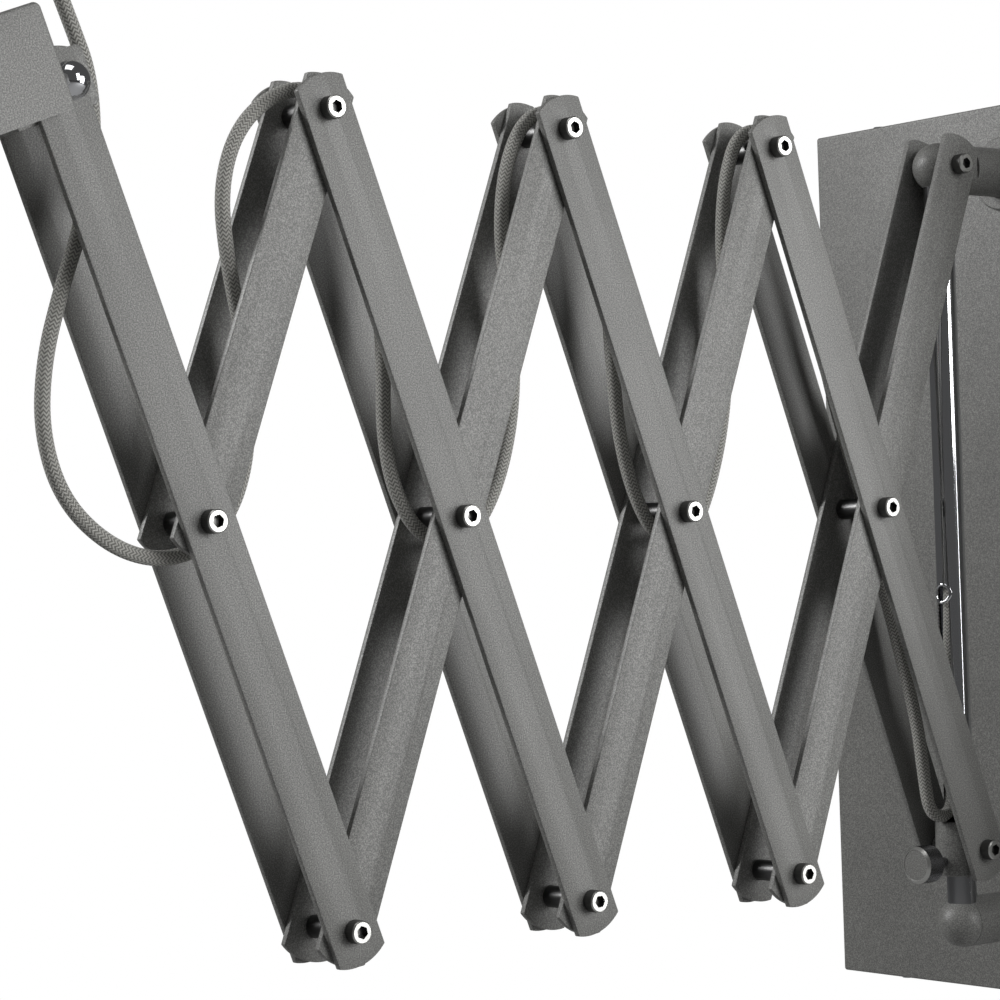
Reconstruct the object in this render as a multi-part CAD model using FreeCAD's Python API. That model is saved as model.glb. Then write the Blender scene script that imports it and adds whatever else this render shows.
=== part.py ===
"""Accordion wall lamp: a scissor arm of flat bars between a lamp head and a wall plate.

Frame: millimetres. The origin is the centre of the wall plate's back, on the wall. The wall is the XZ
plane, +Z is up, and the arm reaches out along -Y. All pivots run along X.
"""
import FreeCAD, Part
import math
import os

V = FreeCAD.Vector

# ---------------------------------------------------------------- driving dimensions (mm, degrees)
# wall plate
PLATE_WIDTH = 270.0
PLATE_ABOVE_POST = 36.0
PLATE_BELOW_POST = 42.0
PLATE_DEPTH = 22.0
PLATE_SHEET = 2.0
PLATE_CORNER = 3.0
PLATE_EDGE = 1.2
RAIL_HEIGHT = 40.0
RAIL_SHEET = 2.0
RAIL_LIP = 16.0
RAIL_END_GAP = 6.0
RAIL_HOLE_X = 100.0
RAIL_HOLE_INSET = 23.0
WALL_SCREW_HOLE = 5.2
RAIL_SCREW = 4.0
RAIL_SCREW_HEAD = 7.6
RAIL_SCREW_HEAD_HEIGHT = 2.4
RAIL_SCREW_LENGTH = 9.0
DRIVER_SIZE = (44.0, 150.0, 16.0)
TERMINAL_SIZE = (30.0, 22.0, 16.0)

# posts
POST_REACH = 50.0
POST_DIAMETER = 25.0
SLIDER_TO_POST = 37.7566
POST_SEAM = 0.4
POST_FLAT_LENGTH = 18.0
POST_SPIGOT = 14.0
POST_NUT_FLATS = 22.0
POST_NUT_HEIGHT = 5.0
POST_BORE = 7.6
FLANGE_DIAMETER = 38.0
FLANGE_THICKNESS = 2.4
FLANGE_CHAMFER = 0.8

# slide tube
TUBE_DIAMETER = 15.0
TUBE_WALL = 1.0
TUBE_END = 4.0
SLOT_WIDTH = 7.5
SLOT_ABOVE_SLIDER = 132.2434
SLOT_BELOW_SLIDER = 7.7566
GROMMET_WIDTH = 1.5
GROMMET_HEIGHT = 0.6

# scissor arm
HALF_LINK = 184.0
REST_TILT = 20.7
BAYS = 4
LINK_WIDTH = 25.0
LINK_THICKNESS = 3.0
LINK_END_RADIUS = 24.0
LINK_END_REACH = 15.0
SPACER_DIAMETER = 10.0
SPACER_LENGTH = 22.0
WASHER_DIAMETER = 12.0
WASHER_THICKNESS = 0.4
PIVOT_DIAMETER = 6.0
RUN_CLEARANCE = 0.05
SCREW_HEAD = 10.0
SCREW_HEAD_HEIGHT = 6.0
SCREW_SOCKET = 5.0
SCREW_SOCKET_DEPTH = 3.0
SCREW_EDGE = 0.6
PIVOT_SCREW_LENGTH = 16.0
WALL_SCREW_LENGTH = 9.8
COLLAR_SCREW_LENGTH = 8.0

# slider collar and its thumb screw
COLLAR_DIAMETER = 25.0
COLLAR_HEIGHT = 27.0
COLLAR_EDGE = 0.5
BUSH_WALL = 1.0
BUSH_KEY_HEIGHT = 7.0
TRUNNION_DIAMETER = 12.0
THUMB_DIAMETER = 18.8
THUMB_LENGTH = 11.5
THUMB_FACE = 33.3
THUMB_DROP = 6.2
THUMB_STEM = 5.0
THUMB_RIDGES = 18
THUMB_RIDGE_DEPTH = 0.5
THUMB_RING = 1.2

# head
HEAD_WIDTH = 120.0
HEAD_LENGTH = 150.0
HEAD_BACK = 21.4
HEAD_TOP = 32.8
HEAD_BOTTOM = 9.3
HEAD_SHEET = 2.0
HEAD_ROUND = 6.0
HEAD_EDGE = 1.5
BLOCK_BACK = 18.5
BLOCK_HEIGHT = 25.0
BLOCK_ROUND = 3.0
HEAD_SCREW = 5.0
HEAD_SCREW_HEAD = 8.5
HEAD_SCREW_HEAD_HEIGHT = 5.0
HEAD_SCREW_LENGTH = 12.0
HEAD_SCREW_X = 8.0
HEAD_SCREW_RISE = 2.0
BALL_DIAMETER = 16.0
BALL_CENTRE = 27.0
BALL_NECK = 9.0
AXLE_GRIP = 10.0
DIFFUSER_THICKNESS = 3.0
DIFFUSER_RECESS = 1.0
DIFFUSER_GAP = 0.2
LEDGE_SIZE = 2.0
SINK_FRONT = 8.0
SINK_BACK = 54.0
SINK_SIDE = 8.0
SINK_BASE = 3.0
SINK_FIN_HEIGHT = 6.0
SINK_FIN = 1.6
SINK_FINS = 9
BOARD_THICKNESS = 1.6
LED_SIZE = 5.0
LED_HEIGHT = 1.2
LED_ROWS = 3
LED_COLUMNS = 5
GLAND_AT = 62.0
GLAND_FLATS = 15.0
GLAND_HEX_HEIGHT = 5.0
GLAND_HEIGHT = 14.0
GLAND_THREAD = 12.0
GLAND_NUT_HEIGHT = 3.0
GLAND_NUT_FLATS = 17.0

# cord
CORD_DIAMETER = 6.5
CORD_CLEARANCE = 0.05
CORD_ARC_SHARE = 0.45

# ---------------------------------------------------------------- derived places
TUBE_Y = -(PLATE_DEPTH + POST_REACH)
TILT = math.radians(REST_TILT)
PITCH = 2.0 * HALF_LINK * math.sin(TILT)
DROP = 2.0 * HALF_LINK * math.cos(TILT)
PLATE_HEIGHT = PLATE_ABOVE_POST + DROP + SLIDER_TO_POST + PLATE_BELOW_POST
UPPER_POST_Z = PLATE_HEIGHT / 2.0 - PLATE_ABOVE_POST
LOWER_POST_Z = PLATE_BELOW_POST - PLATE_HEIGHT / 2.0
SLOT_TOP = DROP - SLOT_ABOVE_SLIDER
SLOT_BOTTOM = DROP + SLOT_BELOW_SLIDER
INNER = SPACER_LENGTH / 2.0
OUTER = INNER + LINK_THICKNESS + WASHER_THICKNESS
HEAD_SEAT = OUTER + LINK_THICKNESS
PIVOT_HOLE = PIVOT_DIAMETER / 2.0 + RUN_CLEARANCE
FRONT_Y = -PLATE_DEPTH


def upper(k):
    """Place (y, z) of upper pivot k; 0 carries the head and BAYS is on the upper post."""
    return TUBE_Y - (BAYS - k) * PITCH, UPPER_POST_Z


def middle(k):
    """Place (y, z) of the crossing of bay k."""
    return TUBE_Y - (BAYS - k + 0.5) * PITCH, UPPER_POST_Z - DROP / 2.0


def lower(k):
    """Place (y, z) of lower pivot k; BAYS is on the slider collar."""
    return TUBE_Y - (BAYS - k) * PITCH, UPPER_POST_Z - DROP


# ---------------------------------------------------------------- helpers
def box(x0, x1, y0, y1, z0, z1):
    """Box between two corners."""
    return Part.makeBox(x1 - x0, y1 - y0, z1 - z0, V(x0, y0, z0))


def rod(radius, start, axis, length):
    """Solid cylinder from a start point along an axis."""
    return Part.makeCylinder(radius, length, V(*start), V(*axis))


def hexagon(flats, start, axis, length):
    """Hexagonal prism along an axis, by its width across flats."""
    prism = Part.Face(Part.makePolygon([
        V(flats / math.sqrt(3.0) * math.cos(math.radians(60 * i)),
          flats / math.sqrt(3.0) * math.sin(math.radians(60 * i)), 0) for i in range(7)
    ])).extrude(V(0, 0, length))
    prism.Placement = FreeCAD.Placement(V(*start), FreeCAD.Rotation(V(0, 0, 1), V(*axis)))
    return prism


def revolve_x(profile, y, z):
    """Solid of revolution about an X axis through (y, z), from (x, radius) points."""
    points = [V(x, y + r, z) for x, r in profile]
    face = Part.Face(Part.makePolygon(points + points[:1]))
    return face.revolve(V(0, y, z), V(1, 0, 0), 360)


def mirrored(shape):
    """The same shape on the far side of the arm."""
    return shape.mirror(V(0, 0, 0), V(1, 0, 0))


def group(shapes):
    """Several separate solids of one kind."""
    return Part.makeCompound(list(shapes))


def save(name, shape):
    """Write one node."""
    shape.exportStep(os.path.join("parts", name + ".step"))
    print("%-20s solids %2d  volume %10.1f" % (name, len(shape.Solids), shape.Volume))


# ---------------------------------------------------------------- bars of the scissor arm
def link(top, sign, inner_face, holes):
    """One flat bar, rounded at its end pivots, from its top pivot down.

    sign is -1 for a bar that runs down and away from the wall, 1 for one that runs down to the wall;
    holes are the distances of its pivots from the top one, and inner_face is its near-side X.
    """
    along = V(0, sign * math.sin(TILT), -math.cos(TILT))
    across = V(0, math.cos(TILT), sign * math.sin(TILT))
    origin = V(inner_face, top[0], top[1])
    half = LINK_WIDTH / 2.0
    shoulder = LINK_END_REACH - LINK_END_RADIUS + math.sqrt(LINK_END_RADIUS ** 2 - half ** 2)
    end = holes[-1]

    def at(s, t):
        return origin + along * s + across * t

    outline = Part.Wire([
        Part.Arc(at(-shoulder, -half), at(-LINK_END_REACH, 0), at(-shoulder, half)).toShape(),
        Part.LineSegment(at(-shoulder, half), at(end + shoulder, half)).toShape(),
        Part.Arc(at(end + shoulder, half), at(end + LINK_END_REACH, 0), at(end + shoulder, -half)).toShape(),
        Part.LineSegment(at(end + shoulder, -half), at(-shoulder, -half)).toShape(),
    ])
    bar = Part.Face(outline).extrude(V(LINK_THICKNESS, 0, 0))
    for s in holes:
        bar = bar.cut(Part.makeCylinder(PIVOT_HOLE, LINK_THICKNESS, at(s, 0), V(1, 0, 0)))
    return bar


# ---------------------------------------------------------------- pivot hardware
def cap_screw(seat, length, y, z):
    """Socket-head cap screw along X, its head seated at X = seat and its tip towards the middle."""
    head = SCREW_HEAD / 2.0
    shank = PIVOT_DIAMETER / 2.0
    top = seat + SCREW_HEAD_HEIGHT
    screw = revolve_x([
        (seat - length, 0), (seat - length, shank), (seat, shank), (seat, head),
        (top - SCREW_EDGE, head), (top, head - SCREW_EDGE), (top, 0),
    ], y, z)
    return screw.cut(hexagon(SCREW_SOCKET, (top - SCREW_SOCKET_DEPTH, y, z), (1, 0, 0), SCREW_SOCKET_DEPTH))


def washer(face, y, z):
    """Thin washer along X from X = face."""
    ring = Part.makeCylinder(WASHER_DIAMETER / 2.0, WASHER_THICKNESS, V(face, y, z), V(1, 0, 0))
    return ring.cut(Part.makeCylinder(PIVOT_HOLE, WASHER_THICKNESS, V(face, y, z), V(1, 0, 0)))


def spacer(y, z):
    """Round spacer between the two sides of the arm."""
    body = rod(SPACER_DIAMETER / 2.0, (-INNER, y, z), (1, 0, 0), SPACER_LENGTH)
    return body.cut(rod(PIVOT_HOLE, (-INNER, y, z), (1, 0, 0), SPACER_LENGTH))


def both_sides(make, places, *sizes):
    """One piece per side at each place."""
    near = [make(*sizes, y, z) for y, z in places]
    return group(near + [mirrored(s) for s in near])


def arm():
    """All bars, spacers, screws and washers of the arm."""
    full = (0.0, HALF_LINK, 2.0 * HALF_LINK)
    half = (0.0, HALF_LINK)
    for k in range(1, BAYS + 1):
        down = link(upper(k - 1), 1, OUTER, full)
        up = link(upper(k), -1, INNER, half if k == 1 else full)
        save("down_link_%d_near" % k, down)
        save("down_link_%d_far" % k, mirrored(down))
        save("up_link_%d_near" % k, up)
        save("up_link_%d_far" % k, mirrored(up))
        places = [middle(k)]
        if k > 1:
            places.append(upper(k - 1))
        if k < BAYS:
            places.append(lower(k))
        save("spacers_%d" % k, group([spacer(y, z) for y, z in places]))
        save("screws_%d" % k, both_sides(cap_screw, places, HEAD_SEAT, PIVOT_SCREW_LENGTH))
        if k == 1:
            places.append(upper(0))
        if k == BAYS:
            places.append(lower(BAYS))
        save("washers_%d" % k, both_sides(washer, places, INNER + LINK_THICKNESS))


# ---------------------------------------------------------------- wall side
def rail_place(side):
    """Z of the outer edge of the upper (1) or lower (-1) rail."""
    return side * (PLATE_HEIGHT / 2.0 - PLATE_SHEET)


def wall_cover():
    """Folded sheet pan, open to the wall."""
    half_w = PLATE_WIDTH / 2.0
    half_h = PLATE_HEIGHT / 2.0
    pan = box(-half_w, half_w, FRONT_Y, 0, -half_h, half_h)
    pan = pan.makeFillet(PLATE_CORNER, [e for e in pan.Edges if abs(e.tangentAt(e.FirstParameter).y) > 0.99])
    pan = pan.makeFillet(PLATE_EDGE, [e for e in pan.Edges if e.BoundBox.YMax < FRONT_Y + 0.01])
    inner_w = half_w - PLATE_SHEET
    inner_h = half_h - PLATE_SHEET
    hollow = box(-inner_w, inner_w, FRONT_Y + PLATE_SHEET, 0, -inner_h, inner_h)
    corners = [e for e in hollow.Edges if abs(e.tangentAt(e.FirstParameter).y) > 0.99]
    hollow = hollow.makeFillet(max(PLATE_CORNER - PLATE_SHEET, 0.3), corners)
    pan = pan.cut(hollow)
    for z in (UPPER_POST_Z, LOWER_POST_Z):
        pan = pan.cut(rod(POST_SPIGOT / 2.0 + RUN_CLEARANCE, (0, FRONT_Y, z), (0, 1, 0), PLATE_SHEET))
    for side in (1, -1):
        for x in (-RAIL_HOLE_X, RAIL_HOLE_X):
            start = (x, -RAIL_LIP / 2.0, rail_place(side))
            pan = pan.cut(rod(RAIL_SCREW / 2.0 + RUN_CLEARANCE, start, (0, 0, side), PLATE_SHEET))
    return pan


def wall_rail(side):
    """Angle rail on the wall, with two wall-screw holes and a lip that the pan is screwed to."""
    half = PLATE_WIDTH / 2.0 - RAIL_END_GAP
    edge = rail_place(side)
    web = box(-half, half, -RAIL_SHEET, 0, min(edge, edge - side * RAIL_HEIGHT), max(edge, edge - side * RAIL_HEIGHT))
    lip = box(-half, half, -RAIL_LIP, 0, min(edge, edge - side * RAIL_SHEET), max(edge, edge - side * RAIL_SHEET))
    rail = web.fuse(lip).removeSplitter()
    for x in (-RAIL_HOLE_X, RAIL_HOLE_X):
        start = (x, -RAIL_SHEET, edge - side * RAIL_HOLE_INSET)
        rail = rail.cut(rod(WALL_SCREW_HOLE / 2.0, start, (0, 1, 0), RAIL_SHEET))
        start = (x, -RAIL_LIP / 2.0, edge)
        rail = rail.cut(rod(RAIL_SCREW / 2.0 + RUN_CLEARANCE, start, (0, 0, -side), RAIL_SHEET))
    return rail


def rail_screw(x, side):
    """Pan-head screw through the pan's edge into a rail's lip."""
    outside = side * PLATE_HEIGHT / 2.0
    at = (x, -RAIL_LIP / 2.0, outside)
    head = rod(RAIL_SCREW_HEAD / 2.0, at, (0, 0, side), RAIL_SCREW_HEAD_HEIGHT)
    rim = [e for e in head.Edges if abs(e.BoundBox.ZMin - outside - side * RAIL_SCREW_HEAD_HEIGHT) < 0.01]
    head = head.makeChamfer(RAIL_SCREW_HEAD_HEIGHT / 3.0, rim)
    return head.fuse(rod(RAIL_SCREW / 2.0, at, (0, 0, -side), RAIL_SCREW_LENGTH)).removeSplitter()


def post(z, side):
    """Turned post with a domed end and a threaded spigot; its tube socket faces the other post."""
    r = POST_DIAMETER / 2.0
    spigot = POST_SPIGOT / 2.0
    tip = FRONT_Y + PLATE_SHEET + POST_NUT_HEIGHT + 1.0
    seam = TUBE_Y + POST_SEAM
    profile = Part.Wire([
        Part.Arc(V(0, TUBE_Y - r, z), V(r * math.sqrt(0.5), TUBE_Y - r * math.sqrt(0.5), z),
                 V(r, TUBE_Y, z)).toShape(),
        Part.makePolygon([V(r, TUBE_Y, z), V(r - POST_SEAM, seam, z), V(r, seam + POST_SEAM, z),
                          V(r, FRONT_Y, z), V(spigot, FRONT_Y, z), V(spigot, tip, z), V(0, tip, z),
                          V(0, TUBE_Y - r, z)]),
    ])
    body = Part.Face(profile).revolve(V(0, 0, z), V(0, 1, 0), 360)
    socket = rod(TUBE_DIAMETER / 2.0 + RUN_CLEARANCE, (0, TUBE_Y, z + side * TUBE_END), (0, 0, side), r)
    return body.cut(socket)


def upper_post():
    """The post that carries the arm: flats and tapped holes for the bars, and a way for the cord."""
    z = UPPER_POST_Z
    bore = TUBE_DIAMETER / 2.0 - TUBE_WALL
    body = post(z, -1)
    for side in (1, -1):
        low = min(side * INNER, side * POST_DIAMETER)
        high = max(side * INNER, side * POST_DIAMETER)
        body = body.cut(box(low, high, TUBE_Y - POST_DIAMETER, TUBE_Y + POST_FLAT_LENGTH,
                            z - POST_DIAMETER, z + POST_DIAMETER))
        tip = INNER + LINK_THICKNESS - WALL_SCREW_LENGTH
        body = body.cut(rod(PIVOT_HOLE, (side * tip, TUBE_Y, z), (side, 0, 0), POST_DIAMETER))
    body = body.cut(rod(bore, (0, TUBE_Y, z - TUBE_END), (0, 0, 1), TUBE_END + POST_BORE / 2.0))
    return body.cut(rod(POST_BORE / 2.0, (0, TUBE_Y, z), (0, 1, 0), -TUBE_Y))


def flange(z):
    """Chamfered rosette on the plate round a post."""
    r = FLANGE_DIAMETER / 2.0
    front = FRONT_Y - FLANGE_THICKNESS
    profile = Part.makePolygon([
        V(POST_DIAMETER / 2.0 + RUN_CLEARANCE, FRONT_Y, z), V(r, FRONT_Y, z), V(r, front + FLANGE_CHAMFER, z),
        V(r - FLANGE_CHAMFER, front, z), V(POST_DIAMETER / 2.0 + RUN_CLEARANCE, front, z),
        V(POST_DIAMETER / 2.0 + RUN_CLEARANCE, FRONT_Y, z),
    ])
    return Part.Face(profile).revolve(V(0, 0, z), V(0, 1, 0), 360)


def post_nut(z):
    """Hexagon nut on a post's spigot, behind the plate's front."""
    start = (0, FRONT_Y + PLATE_SHEET, z)
    nut = hexagon(POST_NUT_FLATS, start, (0, 1, 0), POST_NUT_HEIGHT)
    return nut.cut(rod(POST_SPIGOT / 2.0 + RUN_CLEARANCE, start, (0, 1, 0), POST_NUT_HEIGHT))


def slide_tube():
    """Thin tube between the posts, with a cord slot that faces the head."""
    top = UPPER_POST_Z - TUBE_END
    bottom = LOWER_POST_Z + TUBE_END
    tube = rod(TUBE_DIAMETER / 2.0, (0, TUBE_Y, bottom), (0, 0, 1), top - bottom)
    tube = tube.cut(rod(TUBE_DIAMETER / 2.0 - TUBE_WALL, (0, TUBE_Y, bottom), (0, 0, 1), top - bottom))
    r = SLOT_WIDTH / 2.0
    high = UPPER_POST_Z - SLOT_TOP - r
    low = UPPER_POST_Z - SLOT_BOTTOM + r
    slot = box(-r, r, TUBE_Y - TUBE_DIAMETER, TUBE_Y, low, high)
    for z in (low, high):
        slot = slot.fuse(rod(r, (0, TUBE_Y - TUBE_DIAMETER, z), (0, 1, 0), TUBE_DIAMETER))
    return tube.cut(slot.removeSplitter())


def slot_grommet():
    """Raised eyelet round the top end of the slot, bent to the tube."""
    r = SLOT_WIDTH / 2.0
    z = UPPER_POST_Z - SLOT_TOP - r
    skin = TUBE_DIAMETER / 2.0
    saddle = rod(skin + GROMMET_HEIGHT, (0, TUBE_Y, z - 2 * r), (0, 0, 1), 4 * r)
    saddle = saddle.cut(rod(skin, (0, TUBE_Y, z - 2 * r), (0, 0, 1), 4 * r))
    ring = rod(r + GROMMET_WIDTH, (0, TUBE_Y - TUBE_DIAMETER, z), (0, 1, 0), TUBE_DIAMETER)
    ring = ring.cut(rod(r, (0, TUBE_Y - TUBE_DIAMETER, z), (0, 1, 0), TUBE_DIAMETER))
    return saddle.common(ring)


def wall_side():
    """Everything that stays on the wall, and the slider."""
    save("wall_cover", wall_cover())
    save("wall_rails", group([wall_rail(1), wall_rail(-1)]))
    save("rail_screws", group([rail_screw(x, s) for s in (1, -1) for x in (-RAIL_HOLE_X, RAIL_HOLE_X)]))
    inside = FRONT_Y + PLATE_SHEET
    w, h, d = DRIVER_SIZE
    case = box(-w / 2, w / 2, inside, inside + d, -h / 2, h / 2)
    save("led_driver", case.makeFillet(2.0, [e for e in case.Edges if e.BoundBox.YMin > inside + d - 0.01]))
    w, h, d = TERMINAL_SIZE
    top = CORD_END[1]
    block = box(-w / 2, w / 2, inside, inside + d, top - h, top)
    for i in range(3):
        x = (i - 1) * w / 3.0
        block = block.cut(rod(2.2, (x, inside + d, top - h * 0.7), (0, -1, 0), 3.0))
    save("terminal_block", block)
    save("upper_post", upper_post())
    save("lower_post", post(LOWER_POST_Z, 1))
    save("post_flanges", group([flange(UPPER_POST_Z), flange(LOWER_POST_Z)]))
    save("post_nuts", group([post_nut(UPPER_POST_Z), post_nut(LOWER_POST_Z)]))
    save("slide_tube", slide_tube())
    save("slot_grommet", slot_grommet())
    seat = INNER + LINK_THICKNESS
    save("wall_pivot_screws", both_sides(cap_screw, [upper(BAYS)], seat, WALL_SCREW_LENGTH))


# ---------------------------------------------------------------- slider
def slider():
    """Collar with two trunnions, its liner, its screws and the thumb screw."""
    z = lower(BAYS)[1]
    r = COLLAR_DIAMETER / 2.0
    low = z - COLLAR_HEIGHT / 2.0
    liner = TUBE_DIAMETER / 2.0 + RUN_CLEARANCE
    bore = liner + BUSH_WALL
    seat = OUTER - WASHER_THICKNESS
    collar = rod(r, (0, TUBE_Y, low), (0, 0, 1), COLLAR_HEIGHT)
    collar = collar.makeChamfer(COLLAR_EDGE, [e for e in collar.Edges if e.BoundBox.ZLength < 0.01])
    collar = collar.fuse(rod(TRUNNION_DIAMETER / 2.0, (-seat, TUBE_Y, z), (1, 0, 0), 2 * seat))
    collar = collar.cut(rod(bore + 2 * RUN_CLEARANCE, (0, TUBE_Y, low), (0, 0, 1), COLLAR_HEIGHT))
    for side in (1, -1):
        tip = HEAD_SEAT - COLLAR_SCREW_LENGTH
        collar = collar.cut(rod(PIVOT_HOLE, (side * tip, TUBE_Y, z), (side, 0, 0), COLLAR_DIAMETER))
    knob_z = z - THUMB_DROP
    stem = THUMB_STEM / 2.0
    collar = collar.cut(rod(stem + RUN_CLEARANCE, (0, TUBE_Y, knob_z), (0, -1, 0), COLLAR_DIAMETER))
    save("slider_collar", collar)
    bush = rod(bore, (0, TUBE_Y, low), (0, 0, 1), COLLAR_HEIGHT)
    bush = bush.cut(rod(liner, (0, TUBE_Y, low), (0, 0, 1), COLLAR_HEIGHT))
    key = SLOT_WIDTH / 2.0 - 2 * RUN_CLEARANCE
    top = low + COLLAR_HEIGHT
    bore_r = TUBE_DIAMETER / 2.0 - TUBE_WALL
    bush = bush.fuse(box(-key, key, TUBE_Y - liner - BUSH_WALL / 2.0, TUBE_Y - bore_r, top - BUSH_KEY_HEIGHT, top))
    save("slider_bush", bush.removeSplitter())
    save("slider_screws", both_sides(cap_screw, [lower(BAYS)], HEAD_SEAT, COLLAR_SCREW_LENGTH))
    save("thumb_screw", thumb_screw(knob_z, stem, bore + 2 * RUN_CLEARANCE))


def thumb_screw(z, stem, tip):
    """Ridged thumb screw with a bright rim, its stem reaching the liner."""
    r = THUMB_DIAMETER / 2.0
    back = THUMB_FACE - THUMB_LENGTH
    points = [(tip, 0), (tip, stem), (back, stem), (back, r - THUMB_RIDGE_DEPTH),
              (back + THUMB_RIDGE_DEPTH, r), (THUMB_FACE - THUMB_RING, r),
              (THUMB_FACE, r - THUMB_RING), (THUMB_FACE, 0), (tip, 0)]
    face = Part.Face(Part.makePolygon([V(radius, TUBE_Y - out, z) for out, radius in points]))
    knob = face.revolve(V(0, 0, z), V(0, 1, 0), 360)
    length = THUMB_LENGTH - THUMB_RING - 2 * THUMB_RIDGE_DEPTH
    for i in range(THUMB_RIDGES):
        turn = 2 * math.pi * i / THUMB_RIDGES
        cutter = Part.makeBox(THUMB_RIDGE_DEPTH * 2, length, THUMB_RIDGE_DEPTH * 2,
                              V(-THUMB_RIDGE_DEPTH, 0, -THUMB_RIDGE_DEPTH))
        cutter.rotate(V(0, 0, 0), V(0, 1, 0), 45)
        cutter.translate(V(r, TUBE_Y - THUMB_FACE + THUMB_RING + THUMB_RIDGE_DEPTH, 0))
        cutter.rotate(V(0, 0, 0), V(0, 1, 0), math.degrees(turn))
        cutter.translate(V(0, 0, z))
        knob = knob.cut(cutter)
    return knob


# ---------------------------------------------------------------- head, drawn level at the origin
def place_head(shape):
    """Turn a piece drawn in the head's own frame onto its pivot."""
    y, z = upper(0)
    placed = shape.copy()
    placed.rotate(V(0, 0, 0), V(1, 0, 0), REST_TILT)
    placed.translate(V(0, y, z))
    return placed


def side_profile(grow, x):
    """Side outline of the housing, shrunk by its sheet for the hollow."""
    back = -HEAD_BACK - grow
    front = -HEAD_BACK - HEAD_LENGTH + grow
    top = HEAD_TOP - grow
    bottom = -HEAD_BOTTOM if grow == 0 else -HEAD_BOTTOM - 1.0
    r = max(HEAD_ROUND - grow, 0.5)
    s = r * (1 - math.sqrt(0.5))
    return Part.Wire([
        Part.LineSegment(V(x, back, bottom), V(x, back, top - r)).toShape(),
        Part.Arc(V(x, back, top - r), V(x, back - s, top - s), V(x, back - r, top)).toShape(),
        Part.LineSegment(V(x, back - r, top), V(x, front + r, top)).toShape(),
        Part.Arc(V(x, front + r, top), V(x, front + s, top - s), V(x, front, top - r)).toShape(),
        Part.LineSegment(V(x, front, top - r), V(x, front, bottom)).toShape(),
        Part.LineSegment(V(x, front, bottom), V(x, back, bottom)).toShape(),
    ])


def head_housing():
    """Sheet housing, open below, with a ledge that the diffuser rests against."""
    half = HEAD_WIDTH / 2.0
    shell = Part.Face(side_profile(0.0, -half)).extrude(V(HEAD_WIDTH, 0, 0))
    top_edges = []
    for e in shell.Edges:
        flat = e.BoundBox.XLength < 0.01
        if flat and e.BoundBox.ZMin > -HEAD_BOTTOM + 1.0:
            top_edges.append(e)
    shell = shell.makeFillet(HEAD_EDGE, top_edges)
    inner = half - HEAD_SHEET
    hollow = Part.Face(side_profile(HEAD_SHEET, -inner)).extrude(V(2 * inner, 0, 0))
    shell = shell.cut(hollow)
    ledge_z = -HEAD_BOTTOM + DIFFUSER_RECESS + DIFFUSER_THICKNESS
    back = -HEAD_BACK - HEAD_SHEET
    front = -HEAD_BACK - HEAD_LENGTH + HEAD_SHEET
    ledge = box(-inner, inner, front, back, ledge_z, ledge_z + LEDGE_SIZE)
    ledge = ledge.cut(box(-inner + LEDGE_SIZE, inner - LEDGE_SIZE, front + LEDGE_SIZE, back - LEDGE_SIZE,
                          ledge_z, ledge_z + LEDGE_SIZE))
    shell = shell.fuse(ledge)
    top_hole = rod(GLAND_THREAD / 2.0 + RUN_CLEARANCE, (0, -GLAND_AT, HEAD_TOP - HEAD_SHEET), (0, 0, 1), HEAD_SHEET)
    shell = shell.cut(top_hole)
    for x in (-HEAD_SCREW_X, HEAD_SCREW_X):
        start = (x, -HEAD_BACK - HEAD_SHEET, HEAD_SCREW_RISE)
        shell = shell.cut(rod(HEAD_SCREW / 2.0 + RUN_CLEARANCE, start, (0, 1, 0), HEAD_SHEET))
    return shell.removeSplitter()


def head_block():
    """Rounded block between the last bars, screwed to the housing's back."""
    half = OUTER - WASHER_THICKNESS
    low = -BLOCK_HEIGHT / 2.0
    block = box(-half, half, -HEAD_BACK, BLOCK_BACK, low, -low)
    corners = [e for e in block.Edges
               if e.BoundBox.XLength > 1 and e.BoundBox.YMin > BLOCK_BACK - 0.01]
    block = block.makeFillet(BLOCK_ROUND, corners)
    block = block.cut(rod(PIVOT_HOLE, (-half, 0, 0), (1, 0, 0), 2 * half))
    for x in (-HEAD_SCREW_X, HEAD_SCREW_X):
        start = (x, -HEAD_BACK, HEAD_SCREW_RISE)
        depth = HEAD_SCREW_LENGTH - HEAD_SHEET
        block = block.cut(rod(HEAD_SCREW / 2.0 + RUN_CLEARANCE, start, (0, 1, 0), depth))
    return block


def head_screw(x):
    """Cap screw from inside the housing into the block."""
    seat = -HEAD_BACK - HEAD_SHEET
    head = rod(HEAD_SCREW_HEAD / 2.0, (x, seat - HEAD_SCREW_HEAD_HEIGHT, HEAD_SCREW_RISE), (0, 1, 0),
               HEAD_SCREW_HEAD_HEIGHT)
    shank = rod(HEAD_SCREW / 2.0, (x, seat, HEAD_SCREW_RISE), (0, 1, 0), HEAD_SCREW_LENGTH)
    socket = hexagon(HEAD_SCREW * 0.8, (x, seat - HEAD_SCREW_HEAD_HEIGHT, HEAD_SCREW_RISE), (0, 1, 0), HEAD_SCREW / 2)
    return head.fuse(shank).cut(socket)


def head_axle():
    """Long cap screw from the far side through both bars and the block, into the ball knob."""
    length = 2 * HEAD_SEAT + AXLE_GRIP
    return mirrored(cap_screw(HEAD_SEAT, length, 0, 0))


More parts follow.
